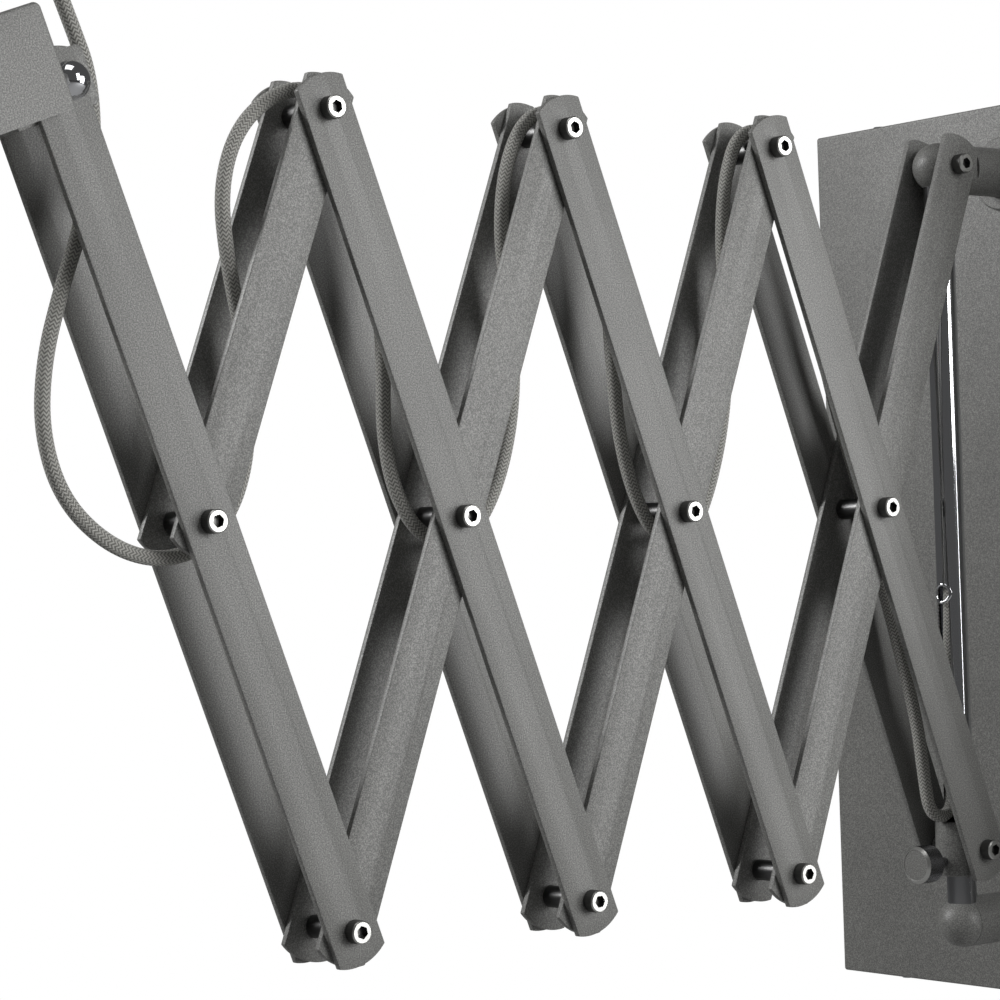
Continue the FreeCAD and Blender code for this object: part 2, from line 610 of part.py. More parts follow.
def ball_knob():
    """Ball on a short turned neck, threaded on the axle."""
    r = BALL_DIAMETER / 2.0
    neck = BALL_NECK / 2.0
    meet = BALL_CENTRE - math.sqrt(r ** 2 - neck ** 2)
    seat = HEAD_SEAT
    profile = Part.Wire([
        Part.makePolygon([V(BALL_CENTRE + r, 0, 0), V(seat, 0, 0), V(seat, neck + 1.0, 0),
                          V(seat + 1.2, neck + 1.0, 0), V(seat + 1.2, neck, 0), V(meet, neck, 0)]),
        Part.Arc(V(meet, neck, 0), V(BALL_CENTRE, r, 0), V(BALL_CENTRE + r, 0, 0)).toShape(),
    ])
    ball = Part.Face(profile).revolve(V(0, 0, 0), V(1, 0, 0), 360)
    return ball.cut(rod(PIVOT_HOLE, (seat, 0, 0), (1, 0, 0), AXLE_GRIP + 1.0))


def heat_sink():
    """Finned plate that hangs under the housing's top."""
    half = HEAD_WIDTH / 2.0 - HEAD_SHEET - SINK_SIDE
    front = -HEAD_BACK - HEAD_LENGTH + HEAD_SHEET + SINK_FRONT
    back = -HEAD_BACK - SINK_BACK
    top = HEAD_TOP - HEAD_SHEET
    base_top = top - SINK_FIN_HEIGHT
    sink = box(-half, half, front, back, base_top - SINK_BASE, base_top)
    step = (2 * half - SINK_FIN) / (SINK_FINS - 1)
    for i in range(SINK_FINS):
        x = -half + i * step
        sink = sink.fuse(box(x, x + SINK_FIN, front, back, base_top, top))
    return sink.removeSplitter(), half, front, back, base_top - SINK_BASE


def led_board(half, front, back, seat):
    """Circuit board under the heat sink with its light-emitting diodes."""
    board = box(-half, half, front, back, seat - BOARD_THICKNESS, seat)
    for i in range(LED_COLUMNS):
        for j in range(LED_ROWS):
            x = half * (2 * (i + 0.5) / LED_COLUMNS - 1)
            y = front + (back - front) * (j + 0.5) / LED_ROWS
            low = seat - BOARD_THICKNESS - LED_HEIGHT
            board = board.fuse(box(x - LED_SIZE / 2, x + LED_SIZE / 2, y - LED_SIZE / 2, y + LED_SIZE / 2,
                                   low, seat - BOARD_THICKNESS))
    return board.removeSplitter()


def diffuser():
    """Opal plate in the housing's mouth."""
    half = HEAD_WIDTH / 2.0 - HEAD_SHEET - DIFFUSER_GAP
    back = -HEAD_BACK - HEAD_SHEET - DIFFUSER_GAP
    front = -HEAD_BACK - HEAD_LENGTH + HEAD_SHEET + DIFFUSER_GAP
    low = -HEAD_BOTTOM + DIFFUSER_RECESS
    return box(-half, half, front, back, low, low + DIFFUSER_THICKNESS)


def cord_gland():
    """Cord gland on the housing's top with its thread and inner nut."""
    at = (0, -GLAND_AT, HEAD_TOP)
    r = GLAND_FLATS / 2.0 - 0.5
    body = hexagon(GLAND_FLATS, at, (0, 0, 1), GLAND_HEX_HEIGHT)
    dome = rod(r, (0, -GLAND_AT, HEAD_TOP + GLAND_HEX_HEIGHT), (0, 0, 1), GLAND_HEIGHT - GLAND_HEX_HEIGHT)
    rim = [e for e in dome.Edges if e.BoundBox.ZMin > HEAD_TOP + GLAND_HEIGHT - 0.01]
    dome = dome.makeFillet(2.0, rim)
    inside = HEAD_TOP - HEAD_SHEET - GLAND_NUT_HEIGHT
    thread = rod(GLAND_THREAD / 2.0, (0, -GLAND_AT, inside), (0, 0, 1), HEAD_SHEET + GLAND_NUT_HEIGHT)
    nut = hexagon(GLAND_NUT_FLATS, (0, -GLAND_AT, inside), (0, 0, 1), GLAND_NUT_HEIGHT)
    body = body.fuse([dome, thread, nut]).removeSplitter()
    bore = CORD_DIAMETER / 2.0 + CORD_CLEARANCE
    return body.cut(rod(bore, (0, -GLAND_AT, inside), (0, 0, 1), HEAD_TOP + GLAND_HEIGHT - inside))


def head():
    """All pieces of the lamp head."""
    sink, half, front, back, seat = heat_sink()
    pieces = {
        "head_housing": head_housing(),
        "head_block": head_block(),
        "head_screws": group([head_screw(-HEAD_SCREW_X), head_screw(HEAD_SCREW_X)]),
        "head_axle": head_axle(),
        "ball_knob": ball_knob(),
        "heat_sink": sink,
        "led_board": led_board(half, front, back, seat),
        "diffuser": diffuser(),
        "cord_gland": cord_gland(),
    }
    for name, shape in pieces.items():
        save(name, place_head(shape))


# ---------------------------------------------------------------- cord
# Hand-laid route (x, y, z): out of the gland, down and up through the arm over the upper spacers and
# under the middle ones, past the last spacer, round above the collar and up inside the slide tube.
ROUTE = [
    (0, -659.5, 196.4), (0, -669.4, 222.6), (0, -678.0, 249.3), (0, -675.0, 274.0), (0, -656.0, 292.0),
    (0, -628.0, 294.5), (0, -602.0, 277.0), (0, -586.0, 248.0), (0, -575.0, 222.0), (0, -567.0, 202.0),
    (0, -566.0, 172.0), (0, -572.0, 144.0), (0, -583.0, 116.0), (0, -592.0, 87.0), (0, -594.0, 58.0),
    (0, -585.0, 31.0), (0, -563.0, 12.0), (0, -538.0, 6.0), (0, -515.0, 14.0), (0, -500.0, 36.0),
    (0, -495.0, 66.0), (0, -497.0, 98.0), (0, -504.0, 130.0), (0, -506.5, 161.0), (0, -496.0, 188.0),
    (0, -473.0, 204.5), (0, -451.0, 204.0), (0, -440.0, 180.0), (0, -433.0, 152.0), (0, -426.5, 121.0),
    (0, -425.0, 89.0), (0, -426.5, 60.0), (0, -422.0, 34.0), (0, -408.0, 13.0), (0, -384.0, 9.5),
    (0, -367.0, 30.0), (0, -356.5, 58.0), (0, -352.5, 89.0), (0, -355.0, 120.0), (0, -358.5, 152.0),
    (0, -353.0, 182.0), (0, -340.0, 203.0), (0, -317.5, 205.0), (0, -306.0, 182.0), (0, -300.0, 152.0),
    (0, -296.0, 121.0), (0, -294.5, 89.0), (0, -292.0, 58.0), (0, -284.0, 30.0), (0, -270.5, 9.5),
    (0, -248.0, 12.0), (0, -236.0, 34.0), (0, -227.0, 62.0), (0, -222.5, 93.0), (0, -222.5, 125.0),
    (0, -223.5, 156.0), (0, -219.0, 184.0), (0, -209.0, 204.0), (0, -187.5, 204.5), (0, -176.5, 182.0),
    (-1, -169.0, 152.0), (-2.5, -161.0, 121.0), (-4, -152.0, 89.0), (-5.5, -140.5, 59.0),
    (-6, -128.5, 28.0), (-6, -121.5, 2.0), (-5, -113.0, -28.0), (-3.5, -105.0, -58.0),
    (-2, -98.0, -88.0), (-1, -96.0, -112.0), (0, -93.5, -133.0), (0, -77.5, -133.5), (0, -76.2, -112.0),
    (0, -76.0, -86.0), (0, -75.2, -52.0), (0, -73.2, -12.0), (0, -71.2, 40.0), (0, -71.6, 92.0),
    (0, -74.0, 134.0), (0, -74.6, 167.0), (0, -75.0, 194.2), (0, -48.0, 193.7), (0, -24.0, 194.2),
    (0, -5.2, 194.0), (0, -6.0, 175.5), (0, -6.0, 157.0),
]
CORD_END = (ROUTE[-1][1], ROUTE[-1][2])
# the runs in whose middle one node ends and the next begins
CORD_NODES = [("cord_head", 0, 11), ("cord_bay_1", 11, 29), ("cord_bay_2", 29, 45), ("cord_bay_3", 45, 61),
              ("cord_tail", 61, 67), ("cord_slider", 67, 75), ("cord_wall", 75, len(ROUTE) - 1)]


def corner_setback(points, i):
    """Distance from route point i to the ends of its arc."""
    before = (points[i] - points[i - 1]).Length
    after = (points[i + 1] - points[i]).Length
    return CORD_ARC_SHARE * min(before, after)


def cord_piece(name, points, first, last):
    """Tube along the route from the middle of one run to the middle of another, or to an end."""
    final = len(points) - 1
    start = points[0] if first == 0 else (points[first] + points[first + 1]) * 0.5
    stop = points[final] if last == final else (points[last] + points[last + 1]) * 0.5
    edges = []
    here = start
    length = 0.0
    radii = []
    for i in range(first + 1, last + 1):
        if i == final:
            break
        back = (points[i - 1] - points[i]).normalize()
        ahead = (points[i + 1] - points[i]).normalize()
        setback = corner_setback(points, i)
        half_turn = (math.pi - back.getAngle(ahead)) / 2.0
        radius = setback / math.tan(half_turn)
        radii.append(radius)
        enter = points[i] + back * setback
        leave = points[i] + ahead * setback
        middle_dir = (back + ahead).normalize()
        deep = radius / math.cos(half_turn) - radius
        edges.append(Part.LineSegment(here, enter).toShape())
        edges.append(Part.Arc(enter, points[i] + middle_dir * deep, leave).toShape())
        here = leave
    edges.append(Part.LineSegment(here, stop).toShape())
    wire = Part.Wire(edges)
    length = sum(e.Length for e in wire.Edges)
    ring = Part.Wire(Part.Circle(start, wire.Edges[0].tangentAt(0), CORD_DIAMETER / 2.0).toShape())
    tube = wire.makePipeShell([ring], True, False, 2)
    if tube.ShapeType != "Solid":
        tube = Part.Solid(Part.Shell(tube.Faces))
    ideal = math.pi * CORD_DIAMETER ** 2 / 4.0 * length
    print("  %s length %.1f, volume / ideal %.4f, least radius %.1f, radii %s"
          % (name, length, tube.Volume / ideal, min(radii), " ".join("%.0f" % r for r in radii)))
    return tube, length


def cord():
    """All stretches of the cord."""
    points = [V(*p) for p in ROUTE]
    total = 0.0
    for name, first, last in CORD_NODES:
        tube, length = cord_piece(name, points, first, last)
        total += length
        save(name, tube)
    print("  cord length in all %.1f" % total)


def main():
    """Build every node."""
    os.makedirs("parts", exist_ok=True)
    print("pitch %.3f, drop %.3f, head pivot %.2f %.2f" % ((PITCH, DROP) + upper(0)))
    wall_side()
    slider()
    arm()
    head()
    cord()


main()
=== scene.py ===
"""Accordion wall lamp, dressed: bars, posts, screws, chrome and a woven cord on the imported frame."""

import logging
import math
from dataclasses import dataclass, field
from enum import Enum

import bpy
from mathutils import Matrix, Vector


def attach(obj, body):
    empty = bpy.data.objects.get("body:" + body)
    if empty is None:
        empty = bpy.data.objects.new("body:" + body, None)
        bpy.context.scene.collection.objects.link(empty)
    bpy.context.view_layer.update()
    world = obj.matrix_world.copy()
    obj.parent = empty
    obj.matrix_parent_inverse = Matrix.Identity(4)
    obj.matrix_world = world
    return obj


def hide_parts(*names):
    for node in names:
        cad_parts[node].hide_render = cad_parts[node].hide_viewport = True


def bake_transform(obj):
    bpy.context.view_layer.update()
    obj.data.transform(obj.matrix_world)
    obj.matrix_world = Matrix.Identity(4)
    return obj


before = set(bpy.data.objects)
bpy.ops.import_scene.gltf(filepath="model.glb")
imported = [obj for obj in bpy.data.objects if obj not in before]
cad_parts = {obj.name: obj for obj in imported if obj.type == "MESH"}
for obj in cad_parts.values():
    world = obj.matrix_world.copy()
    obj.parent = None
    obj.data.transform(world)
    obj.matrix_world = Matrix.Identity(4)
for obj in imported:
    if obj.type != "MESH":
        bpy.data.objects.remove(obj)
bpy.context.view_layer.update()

MM = 0.001
log = logging.getLogger("wall_lamp")


# ------------------------------------------------------------------------------------ colour and nodes
def linear(code: str) -> tuple[float, float, float, float]:
    """Turns an sRGB hex colour into linear light.

    Args:
        code: Six hex digits.

    Returns:
        Red, green, blue and alpha.
    """
    out = []
    for i in (0, 2, 4):
        c = int(code[i:i + 2], 16) / 255.0
        out.append(c / 12.92 if c <= 0.04045 else ((c + 0.055) / 1.055) ** 2.4)
    return out[0], out[1], out[2], 1.0


def add_node(tree: bpy.types.NodeTree, kind: str, sockets: dict | None = None, **settings: object) -> bpy.types.Node:
    """Adds a node, sets its properties and fills or links its inputs.

    Args:
        tree: The node tree.
        kind: The node's type name.
        sockets: Input name or number to a value, or to an output socket to link from.
        settings: Properties of the node itself.

    Returns:
        The new node.
    """
    node = tree.nodes.new(kind)
    for key, value in settings.items():
        setattr(node, key, value)
    for key, value in (sockets or {}).items():
        if isinstance(value, bpy.types.NodeSocket):
            tree.links.new(value, node.inputs[key])
        else:
            node.inputs[key].default_value = value
    return node


def blank_material(name: str) -> tuple[bpy.types.Material, bpy.types.NodeTree, bpy.types.Node]:
    """Makes a material with an empty tree and an output.

    Args:
        name: The material's name.

    Returns:
        The material, its tree and the output node.
    """
    material = bpy.data.materials.new(name)
    material.use_nodes = True
    material.node_tree.nodes.clear()
    return material, material.node_tree, material.node_tree.nodes.new("ShaderNodeOutputMaterial")


def grain(tree: bpy.types.NodeTree, size_mm: float, detail: float = 2.0,
          sockets: dict | None = None) -> bpy.types.NodeSocket:
    """Noise that lies still on the piece.

    Args:
        tree: The node tree.
        size_mm: Size of its features.
        detail: Octaves of finer noise.
        sockets: Further inputs.

    Returns:
        The noise.
    """
    place = add_node(tree, "ShaderNodeTexCoord").outputs["Object"]
    inputs = {"Vector": place, "Scale": 1.0 / (size_mm * MM), "Detail": detail, **(sockets or {})}
    return add_node(tree, "ShaderNodeTexNoise", inputs).outputs["Fac"]


def ramp(tree: bpy.types.NodeTree, value: bpy.types.NodeSocket, span: tuple[float, float],
         result: tuple[float, float]) -> bpy.types.NodeSocket:
    """Maps a span of a value to another.

    Args:
        tree: The node tree.
        value: The value.
        span: The span that is read.
        result: What its ends become.

    Returns:
        The mapped value.
    """
    return add_node(tree, "ShaderNodeMapRange", {
        "Value": value, "From Min": span[0], "From Max": span[1],
        "To Min": result[0], "To Max": result[1]}).outputs["Result"]


def relief(tree: bpy.types.NodeTree, height: bpy.types.NodeSocket, depth_mm: float,
           strength: float = 1.0) -> bpy.types.NodeSocket:
    """Turns a height into a bumped normal.

    Args:
        tree: The node tree.
        height: The height.
        depth_mm: Depth of a height of 1.
        strength: Share of the bump that shows.

    Returns:
        The normal.
    """
    return add_node(tree, "ShaderNodeBump", {
        "Height": height, "Distance": depth_mm * MM, "Strength": strength}).outputs["Normal"]


def surface(tree: bpy.types.NodeTree, output: bpy.types.Node, sockets: dict) -> None:
    """Joins a principled shader to the output.

    Args:
        tree: The node tree.
        output: The output node.
        sockets: The shader's inputs.
    """
    shader = add_node(tree, "ShaderNodeBsdfPrincipled", sockets)
    tree.links.new(shader.outputs[0], output.inputs["Surface"])


# ------------------------------------------------------------------------------------ finishes
NOISE_SPAN = (0.3, 0.7)  # where nearly all of the noise lies


@dataclass(frozen=True)
class PowderCoat:
    """Polyester powder coat on steel, sprayed and baked: a matt sand grain with tiny bright flecks."""

    name: str = "sand_texture_powder_coat"
    shade: str = "5a5a58"
    fleck: str = "8a8a87"
    grain_mm: float = 0.6
    roughness: float = 0.5
    relief_mm: float = 0.035
    cloud_mm: float = 38.0

    def make(self) -> bpy.types.Material:
        """Returns the finished material."""
        material, tree, output = blank_material(self.name)
        sand = grain(tree, self.grain_mm, sockets={"Roughness": 0.6})
        cloud = ramp(tree, grain(tree, self.cloud_mm), NOISE_SPAN, (0.93, 1.07))
        tone = add_node(tree, "ShaderNodeMix", {
            "Factor": ramp(tree, sand, (0.42, 0.72), (0.0, 1.0)),
            "A": linear(self.shade), "B": linear(self.fleck)}, data_type="RGBA")
        base = add_node(tree, "ShaderNodeHueSaturation", {"Color": tone.outputs["Result"], "Value": cloud})
        surface(tree, output, {
            "Base Color": base.outputs["Color"], "Normal": relief(tree, sand, self.relief_mm), "IOR": 1.5,
            "Roughness": ramp(tree, sand, NOISE_SPAN, (self.roughness + 0.08, self.roughness - 0.1))})
        return material


@dataclass(frozen=True)
class Metal:
    """Metal with a fine machined or polished surface; the grain runs as turned or drawn marks."""

    name: str = "polished_chrome"
    shade: str = "dcdde0"
    roughness: float = 0.06
    grain_mm: float = 0.25
    relief_mm: float = 0.0
    mottle: float = 0.02

    def make(self) -> bpy.types.Material:
        """Returns the finished material."""
        material, tree, output = blank_material(self.name)
        marks = grain(tree, self.grain_mm, 3.0)
        shine = (max(self.roughness - self.mottle, 0.02), self.roughness + self.mottle)
        sockets = {"Base Color": linear(self.shade), "Metallic": 1.0, "Roughness": ramp(tree, marks, NOISE_SPAN, shine)}
        if self.relief_mm > 0.0:
            sockets["Normal"] = relief(tree, marks, self.relief_mm)
        surface(tree, output, sockets)
        return material


@dataclass(frozen=True)
class Moulded:
    """Injection-moulded or cast plastic: an even colour with a faint spark-eroded grain."""

    name: str = "moulded_nylon"
    shade: str = "202020"
    roughness: float = 0.5
    grain_mm: float = 0.5
    relief_mm: float = 0.02
    milk: float = 0.0

    def make(self) -> bpy.types.Material:
        """Returns the finished material."""
        material, tree, output = blank_material(self.name)
        spark = grain(tree, self.grain_mm)
        surface(tree, output, {
            "Base Color": linear(self.shade), "IOR": 1.5, "Normal": relief(tree, spark, self.relief_mm),
            "Roughness": ramp(tree, spark, NOISE_SPAN, (self.roughness - 0.05, self.roughness + 0.05)),
            "Subsurface Weight": self.milk, "Subsurface Scale": 0.002})
        return material


@dataclass(frozen=True)
class WovenSleeve:
    """Polyester yarn braided round the cord: pale and dark strands that cross in chevrons."""

    name: str = "braided_polyester_sleeve"
    dark: str = "8e8d88"
    pale: str = "c8c7c1"
    pitch_mm: float = 1.8
    ends: int = 8
    yarn_mm: float = 0.5
    relief_mm: float = 0.3
    slant: float = 1.6

    def make(self) -> bpy.types.Material:
        """Returns the finished material; U runs round the cord from 0 to 1 and V along it in metres."""
        material, tree, output = blank_material(self.name)
        uv = add_node(tree, "ShaderNodeUVMap", uv_map="UVMap")
        part = add_node(tree, "ShaderNodeSeparateXYZ", {0: uv.outputs["UV"]})

        def maths(what: str, a: object, b: object = 0.0) -> bpy.types.NodeSocket:
            """Adds one sum; a and b are numbers or sockets."""
            return add_node(tree, "ShaderNodeMath", {0: a, 1: b}, operation=what).outputs[0]

        around = maths("MULTIPLY", part.outputs["X"], float(self.ends))
        zigzag = maths("PINGPONG", around, 0.5)
        along = maths("DIVIDE", part.outputs["Y"], self.pitch_mm * MM)
        lift = maths("MULTIPLY", zigzag, self.slant)
        slope = maths("ADD", along, lift)
        band = maths("SINE", maths("MULTIPLY", slope, 2.0 * math.pi))
        strand = maths("SINE", maths("MULTIPLY", slope, 8.0 * math.pi))
        lean = maths("SINE", maths("MULTIPLY", maths("SUBTRACT", along, lift), 8.0 * math.pi))
        height = maths("ADD", maths("MULTIPLY", maths("ADD", strand, lean), 0.25), maths("MULTIPLY", band, 0.25))
        fuzz = maths("MULTIPLY", grain(tree, self.yarn_mm), 0.6)
        tone = add_node(tree, "ShaderNodeMix", {
            "Factor": ramp(tree, band, (-0.25, 0.25), (0.0, 1.0)),
            "A": linear(self.dark), "B": linear(self.pale)}, data_type="RGBA")
        # painted shade and painted highlight: the value follows the weave's height, darker in the grooves and lighter
        # on the strand crowns, with random yarn fuzz mixed in
        base = add_node(tree, "ShaderNodeHueSaturation", {
            "Color": tone.outputs["Result"],
            "Value": ramp(tree, maths("ADD", height, fuzz), (-0.3, 0.8), (0.55, 1.15))})
        surface(tree, output, {
            "Base Color": base.outputs["Color"], "Roughness": 0.7, "IOR": 1.45,
            "Normal": relief(tree, height, self.relief_mm, 0.9), "Sheen Weight": 0.25, "Sheen Roughness": 0.4})
        return material


class Finish(Enum):
    """The finishes of the lamp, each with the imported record's slot that it stands for."""

    COAT = "powder_coat"
    LIGHT_COAT = "coated_aluminium"
    CHROME = "chrome"
    BLACK_STEEL = "black_steel"
    BRIGHT_STEEL = "bright_steel"
    SPACER = "spacer_steel"
    THUMB = "dark_chrome"
    ZINC = "zinc"
    NYLON = "nylon"
    BLACK_PLASTIC = "black_plastic"
    WHITE_PLASTIC = "white_plastic"
    OPAL = "opal"
    ALUMINIUM = "aluminium"
    BOARD = "board"
    BRAID = "braid"


RECIPES = {
    Finish.COAT: PowderCoat(),
    Finish.LIGHT_COAT: PowderCoat("sand_texture_powder_coat_on_aluminium"),
    Finish.CHROME: Metal(),
    # cap screws: hardened steel, black oxide on the knurl, and a face ground bright
    Finish.BLACK_STEEL: Metal("black_oxide_steel", "666665", 0.34, 0.3, 0.01, 0.06),
    Finish.BRIGHT_STEEL: Metal("ground_screw_face", "b9b9b6", 0.34, 0.2, 0.004, 0.04),
    Finish.SPACER: Metal("blackened_spacer_steel", "5c5c5c", 0.36, 0.4, 0.006, 0.05),
    Finish.THUMB: Metal("black_nickel_plate", "8c8c8e", 0.28, 0.3, 0.004, 0.05),
    Finish.ZINC: Metal("zinc_plated_steel", "a9adb0", 0.35, 0.8, 0.004, 0.08),
    Finish.NYLON: Moulded("turned_nylon", "2a2a2a", 0.45),
    Finish.BLACK_PLASTIC: Moulded("moulded_polyamide_black", "1c1c1d", 0.5),
    Finish.WHITE_PLASTIC: Moulded("moulded_polycarbonate_white", "d9d9d4", 0.4),
    Finish.OPAL: Moulded("opal_acrylic", "e9e9e4", 0.3, 0.8, 0.005, 0.4),
    Finish.ALUMINIUM: Metal("extruded_aluminium", "c3c5c8", 0.32, 0.5, 0.004, 0.05),
    Finish.BOARD: Moulded("white_solder_mask", "e2e2dc", 0.35),
    Finish.BRAID: WovenSleeve(),
}


class Paints:
    """Makes each finish once and hands it out."""

    _made: dict[Finish, bpy.types.Material] = {}

    @classmethod
    def get(cls, finish: Finish) -> bpy.types.Material:
        """Returns the material of a finish."""
        if finish not in cls._made:
            cls._made[finish] = RECIPES[finish].make()
        return cls._made[finish]


# ------------------------------------------------------------------------------------ modelling moves
class Bench:
    """Modelling moves that the sub-assemblies share; sizes come in millimetres."""

    @staticmethod
    def clear() -> None:
        """Leaves nothing selected."""
        bpy.ops.object.select_all(action="DESELECT")

    @staticmethod
    def only(obj: bpy.types.Object) -> bpy.types.Object:
        """Selects one object alone and returns it."""
        Bench.clear()
        obj.select_set(True)
        bpy.context.view_layer.objects.active = obj
        return obj

    @staticmethod
    def settle(obj: bpy.types.Object, place: Matrix | None = None) -> bpy.types.Object:
        """Puts a piece's place into its mesh.

        Args:
            obj: The piece.
            place: A further placement, or None.

        Returns:
            The piece, at the origin.
        """
        if place is not None:
            obj.matrix_world = place @ obj.matrix_world
        Bench.only(obj)
        bpy.ops.object.transform_apply(location=True, rotation=True, scale=True)
        return obj

    @staticmethod
    def modify(obj: bpy.types.Object, kind: str, **settings: object) -> bpy.types.Object:
        """Adds a modifier and applies it.

        Args:
            obj: The piece.
            kind: The modifier's type.
            settings: Its properties.

        Returns:
            The piece.
        """
        Bench.only(obj)
        modifier = obj.modifiers.new(kind.lower(), kind)
        for key, value in settings.items():
            setattr(modifier, key, value)
        bpy.ops.object.modifier_apply(modifier=modifier.name)
        return obj

    @staticmethod
    def pick(obj: bpy.types.Object, what: str, test: object) -> None:
        """Selects the faces, edges or vertices that pass a test, in edit mode.

        Args:
            obj: The piece, in object mode.
            what: FACE, EDGE or VERT.
            test: Called with the element's centre in millimetres, and for a face its normal.
        """
        Bench.only(obj)
        bpy.ops.object.mode_set(mode="EDIT")
        bpy.context.tool_settings.mesh_select_mode = (what == "VERT", what == "EDGE", what == "FACE")
        bpy.ops.mesh.select_all(action="DESELECT")
        bpy.ops.object.mode_set(mode="OBJECT")
        mesh = obj.data
        if what == "FACE":
            for face in mesh.polygons:
                face.select = bool(test(face.center / MM, face.normal))
        elif what == "EDGE":
            for edge in mesh.edges:
                a, b = (mesh.vertices[v].co for v in edge.vertices)
                edge.select = bool(test((a + b) / 2.0 / MM, b - a))
        else:
            for vertex in mesh.vertices:
                vertex.select = bool(test(vertex.co / MM))
        bpy.ops.object.mode_set(mode="EDIT")

    @staticmethod
    def done(obj: bpy.types.Object, merge: bool = False) -> bpy.types.Object:
        """Closes edit mode with outward faces, merging doubles first if asked, and returns the piece."""
        bpy.ops.mesh.select_all(action="SELECT")
        if merge:
            bpy.ops.mesh.remove_doubles(threshold=1e-6)
        bpy.ops.mesh.normals_make_consistent(inside=False)
        bpy.ops.object.mode_set(mode="OBJECT")
        return obj

    @staticmethod
    def turned(name: str, rings: list[tuple[float, float]], segments: int = 48) -> bpy.types.Object:
        """Turns a closed solid about Z.

        Args:
            name: The piece's name.
            rings: Height and radius of each ring, from one end to the other.
            segments: Sides of each ring.

        Returns:
            The piece at the origin.
        """
        Bench.clear()
        height, radius = rings[0]
        bpy.ops.mesh.primitive_circle_add(
            vertices=segments, radius=radius * MM, fill_type="NGON", location=(0, 0, height * MM))
        obj = Bench.settle(bpy.context.object)
        obj.name = name
        obj.data.name = name
        bpy.ops.object.mode_set(mode="EDIT")
        bpy.ops.mesh.select_all(action="SELECT")
        for next_height, next_radius in rings[1:]:
            bpy.ops.mesh.extrude_region_move(
                TRANSFORM_OT_translate={"value": (0, 0, (next_height - height) * MM)})
            share = next_radius / radius
            bpy.ops.transform.resize(value=(share, share, 1.0), center_override=(0, 0, next_height * MM))
            height, radius = next_height, next_radius
        return Bench.done(obj)

    @staticmethod
    def block(name: str, low: tuple[float, float, float], high: tuple[float, float, float]) -> bpy.types.Object:
        """Adds a box between two corners, to be shaped further.

        Args:
            name: The piece's name.
            low: Lowest corner.
            high: Highest corner.

        Returns:
            The box.
        """
        Bench.clear()
        centre = [(a + b) / 2.0 * MM for a, b in zip(low, high)]
        bpy.ops.mesh.primitive_cube_add(size=1.0, location=centre)
        obj = bpy.context.object
        obj.name = name
        obj.data.name = name
        obj.scale = [(b - a) * MM for a, b in zip(low, high)]
        return Bench.settle(obj)

    @staticmethod
    def carve(obj: bpy.types.Object, tools: list[bpy.types.Object], how: str = "DIFFERENCE") -> bpy.types.Object:
        """Cuts a piece with others, which are used up.

        Args:
            obj: The piece.
            tools: The cutters.
            how: The boolean's operation.

        Returns:
            The piece.
        """
        for tool in tools:
            Bench.modify(obj, "BOOLEAN", object=tool, operation=how, solver="EXACT")
            bpy.data.objects.remove(tool, do_unlink=True)
        return obj

    @staticmethod
    def repeat(name: str, master: bpy.types.Object, places: list[Matrix]) -> bpy.types.Object:
        """Copies a finished piece to several places as one object.

        Args:
            name: The new object's name.
            master: The piece to copy, at the origin.
            places: Where the copies go.

        Returns:
            The joined copies.
        """
        copies = []
        for place in places:
            copy = master.copy()
            copy.data = master.data.copy()
            copy.data.transform(place)
            bpy.context.scene.collection.objects.link(copy)
            copies.append(copy)
        Bench.clear()
        for copy in copies:
            copy.select_set(True)
        bpy.context.view_layer.objects.active = copies[0]
        if len(copies) > 1:
            bpy.ops.object.join()
        obj = bpy.context.view_layer.objects.active
        obj.name = name
        obj.data.name = name
        return obj

    @staticmethod
    def ridge(obj: bpy.types.Object, radius: float, depth: float, ridges: int, low: float, high: float) -> None:
        """Presses in every other corner of a turned side, which leaves ridges along it.

        Args:
            obj: The piece, with two corners to a ridge.
            radius: The side's radius.
            depth: Depth of the valleys.
            ridges: Number of ridges.
            low: The side's lower end.
            high: The side's upper end.
        """
        def valley(p: Vector) -> bool:
            """True for every other corner of the side."""
            if not low < p.z < high or math.hypot(p.x, p.y) < radius - 0.2:
                return False
            return round(math.degrees(math.atan2(p.y, p.x)) / (180.0 / ridges)) % 2 == 0

        Bench.pick(obj, "VERT", valley)
        share = 1.0 - depth / radius
        bpy.ops.transform.resize(value=(share, share, 1.0), center_override=(0, 0, 0))
        bpy.ops.object.mode_set(mode="OBJECT")

    @staticmethod
    def paint(obj: bpy.types.Object, *finishes: Finish) -> None:
        """Gives a piece its materials, in the order of its slots.

        Args:
            obj: The piece.
            finishes: Its finishes.
        """
        obj.data.materials.clear()
        for finish in finishes:
            obj.data.materials.append(Paints.get(finish))

    @staticmethod
    def dress(obj: bpy.types.Object, finish: Finish, body: str, nodes: list[str], smooth_deg: float = 32.0,
              keep_slots: bool = False) -> bpy.types.Object:
        """Shades a piece, gives it its finish and hangs it on the frame.

        Args:
            obj: The piece.
            finish: Its main finish.
            body: The body that it rides on.
            nodes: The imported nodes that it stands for.
            smooth_deg: Edges sharper than this stay sharp.
            keep_slots: True where the piece already has its materials.

        Returns:
            The piece.
        """
        Bench.only(obj)
        bpy.ops.object.shade_smooth_by_angle(angle=math.radians(smooth_deg))
        if not keep_slots:
            Bench.paint(obj, finish)
        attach(obj, body)
        if nodes:
            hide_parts(*nodes)
        log.info("piece %s on %s", obj.name, body)
        return obj

    @staticmethod
    def repaint(node: str, finish: Finish) -> None:
        """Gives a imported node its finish."""
        Bench.paint(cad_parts[node], finish)
        log.info("node %s painted", node)


def shift(x: float, y: float, z: float) -> Matrix:
    """Placement that moves a piece without a turn.

    Args:
        x: Distance in millimetres.
        y: Distance in millimetres.
        z: Distance in millimetres.

    Returns:
        The placement.
    """
    return Matrix.Translation(Vector((x, y, z)) * MM)


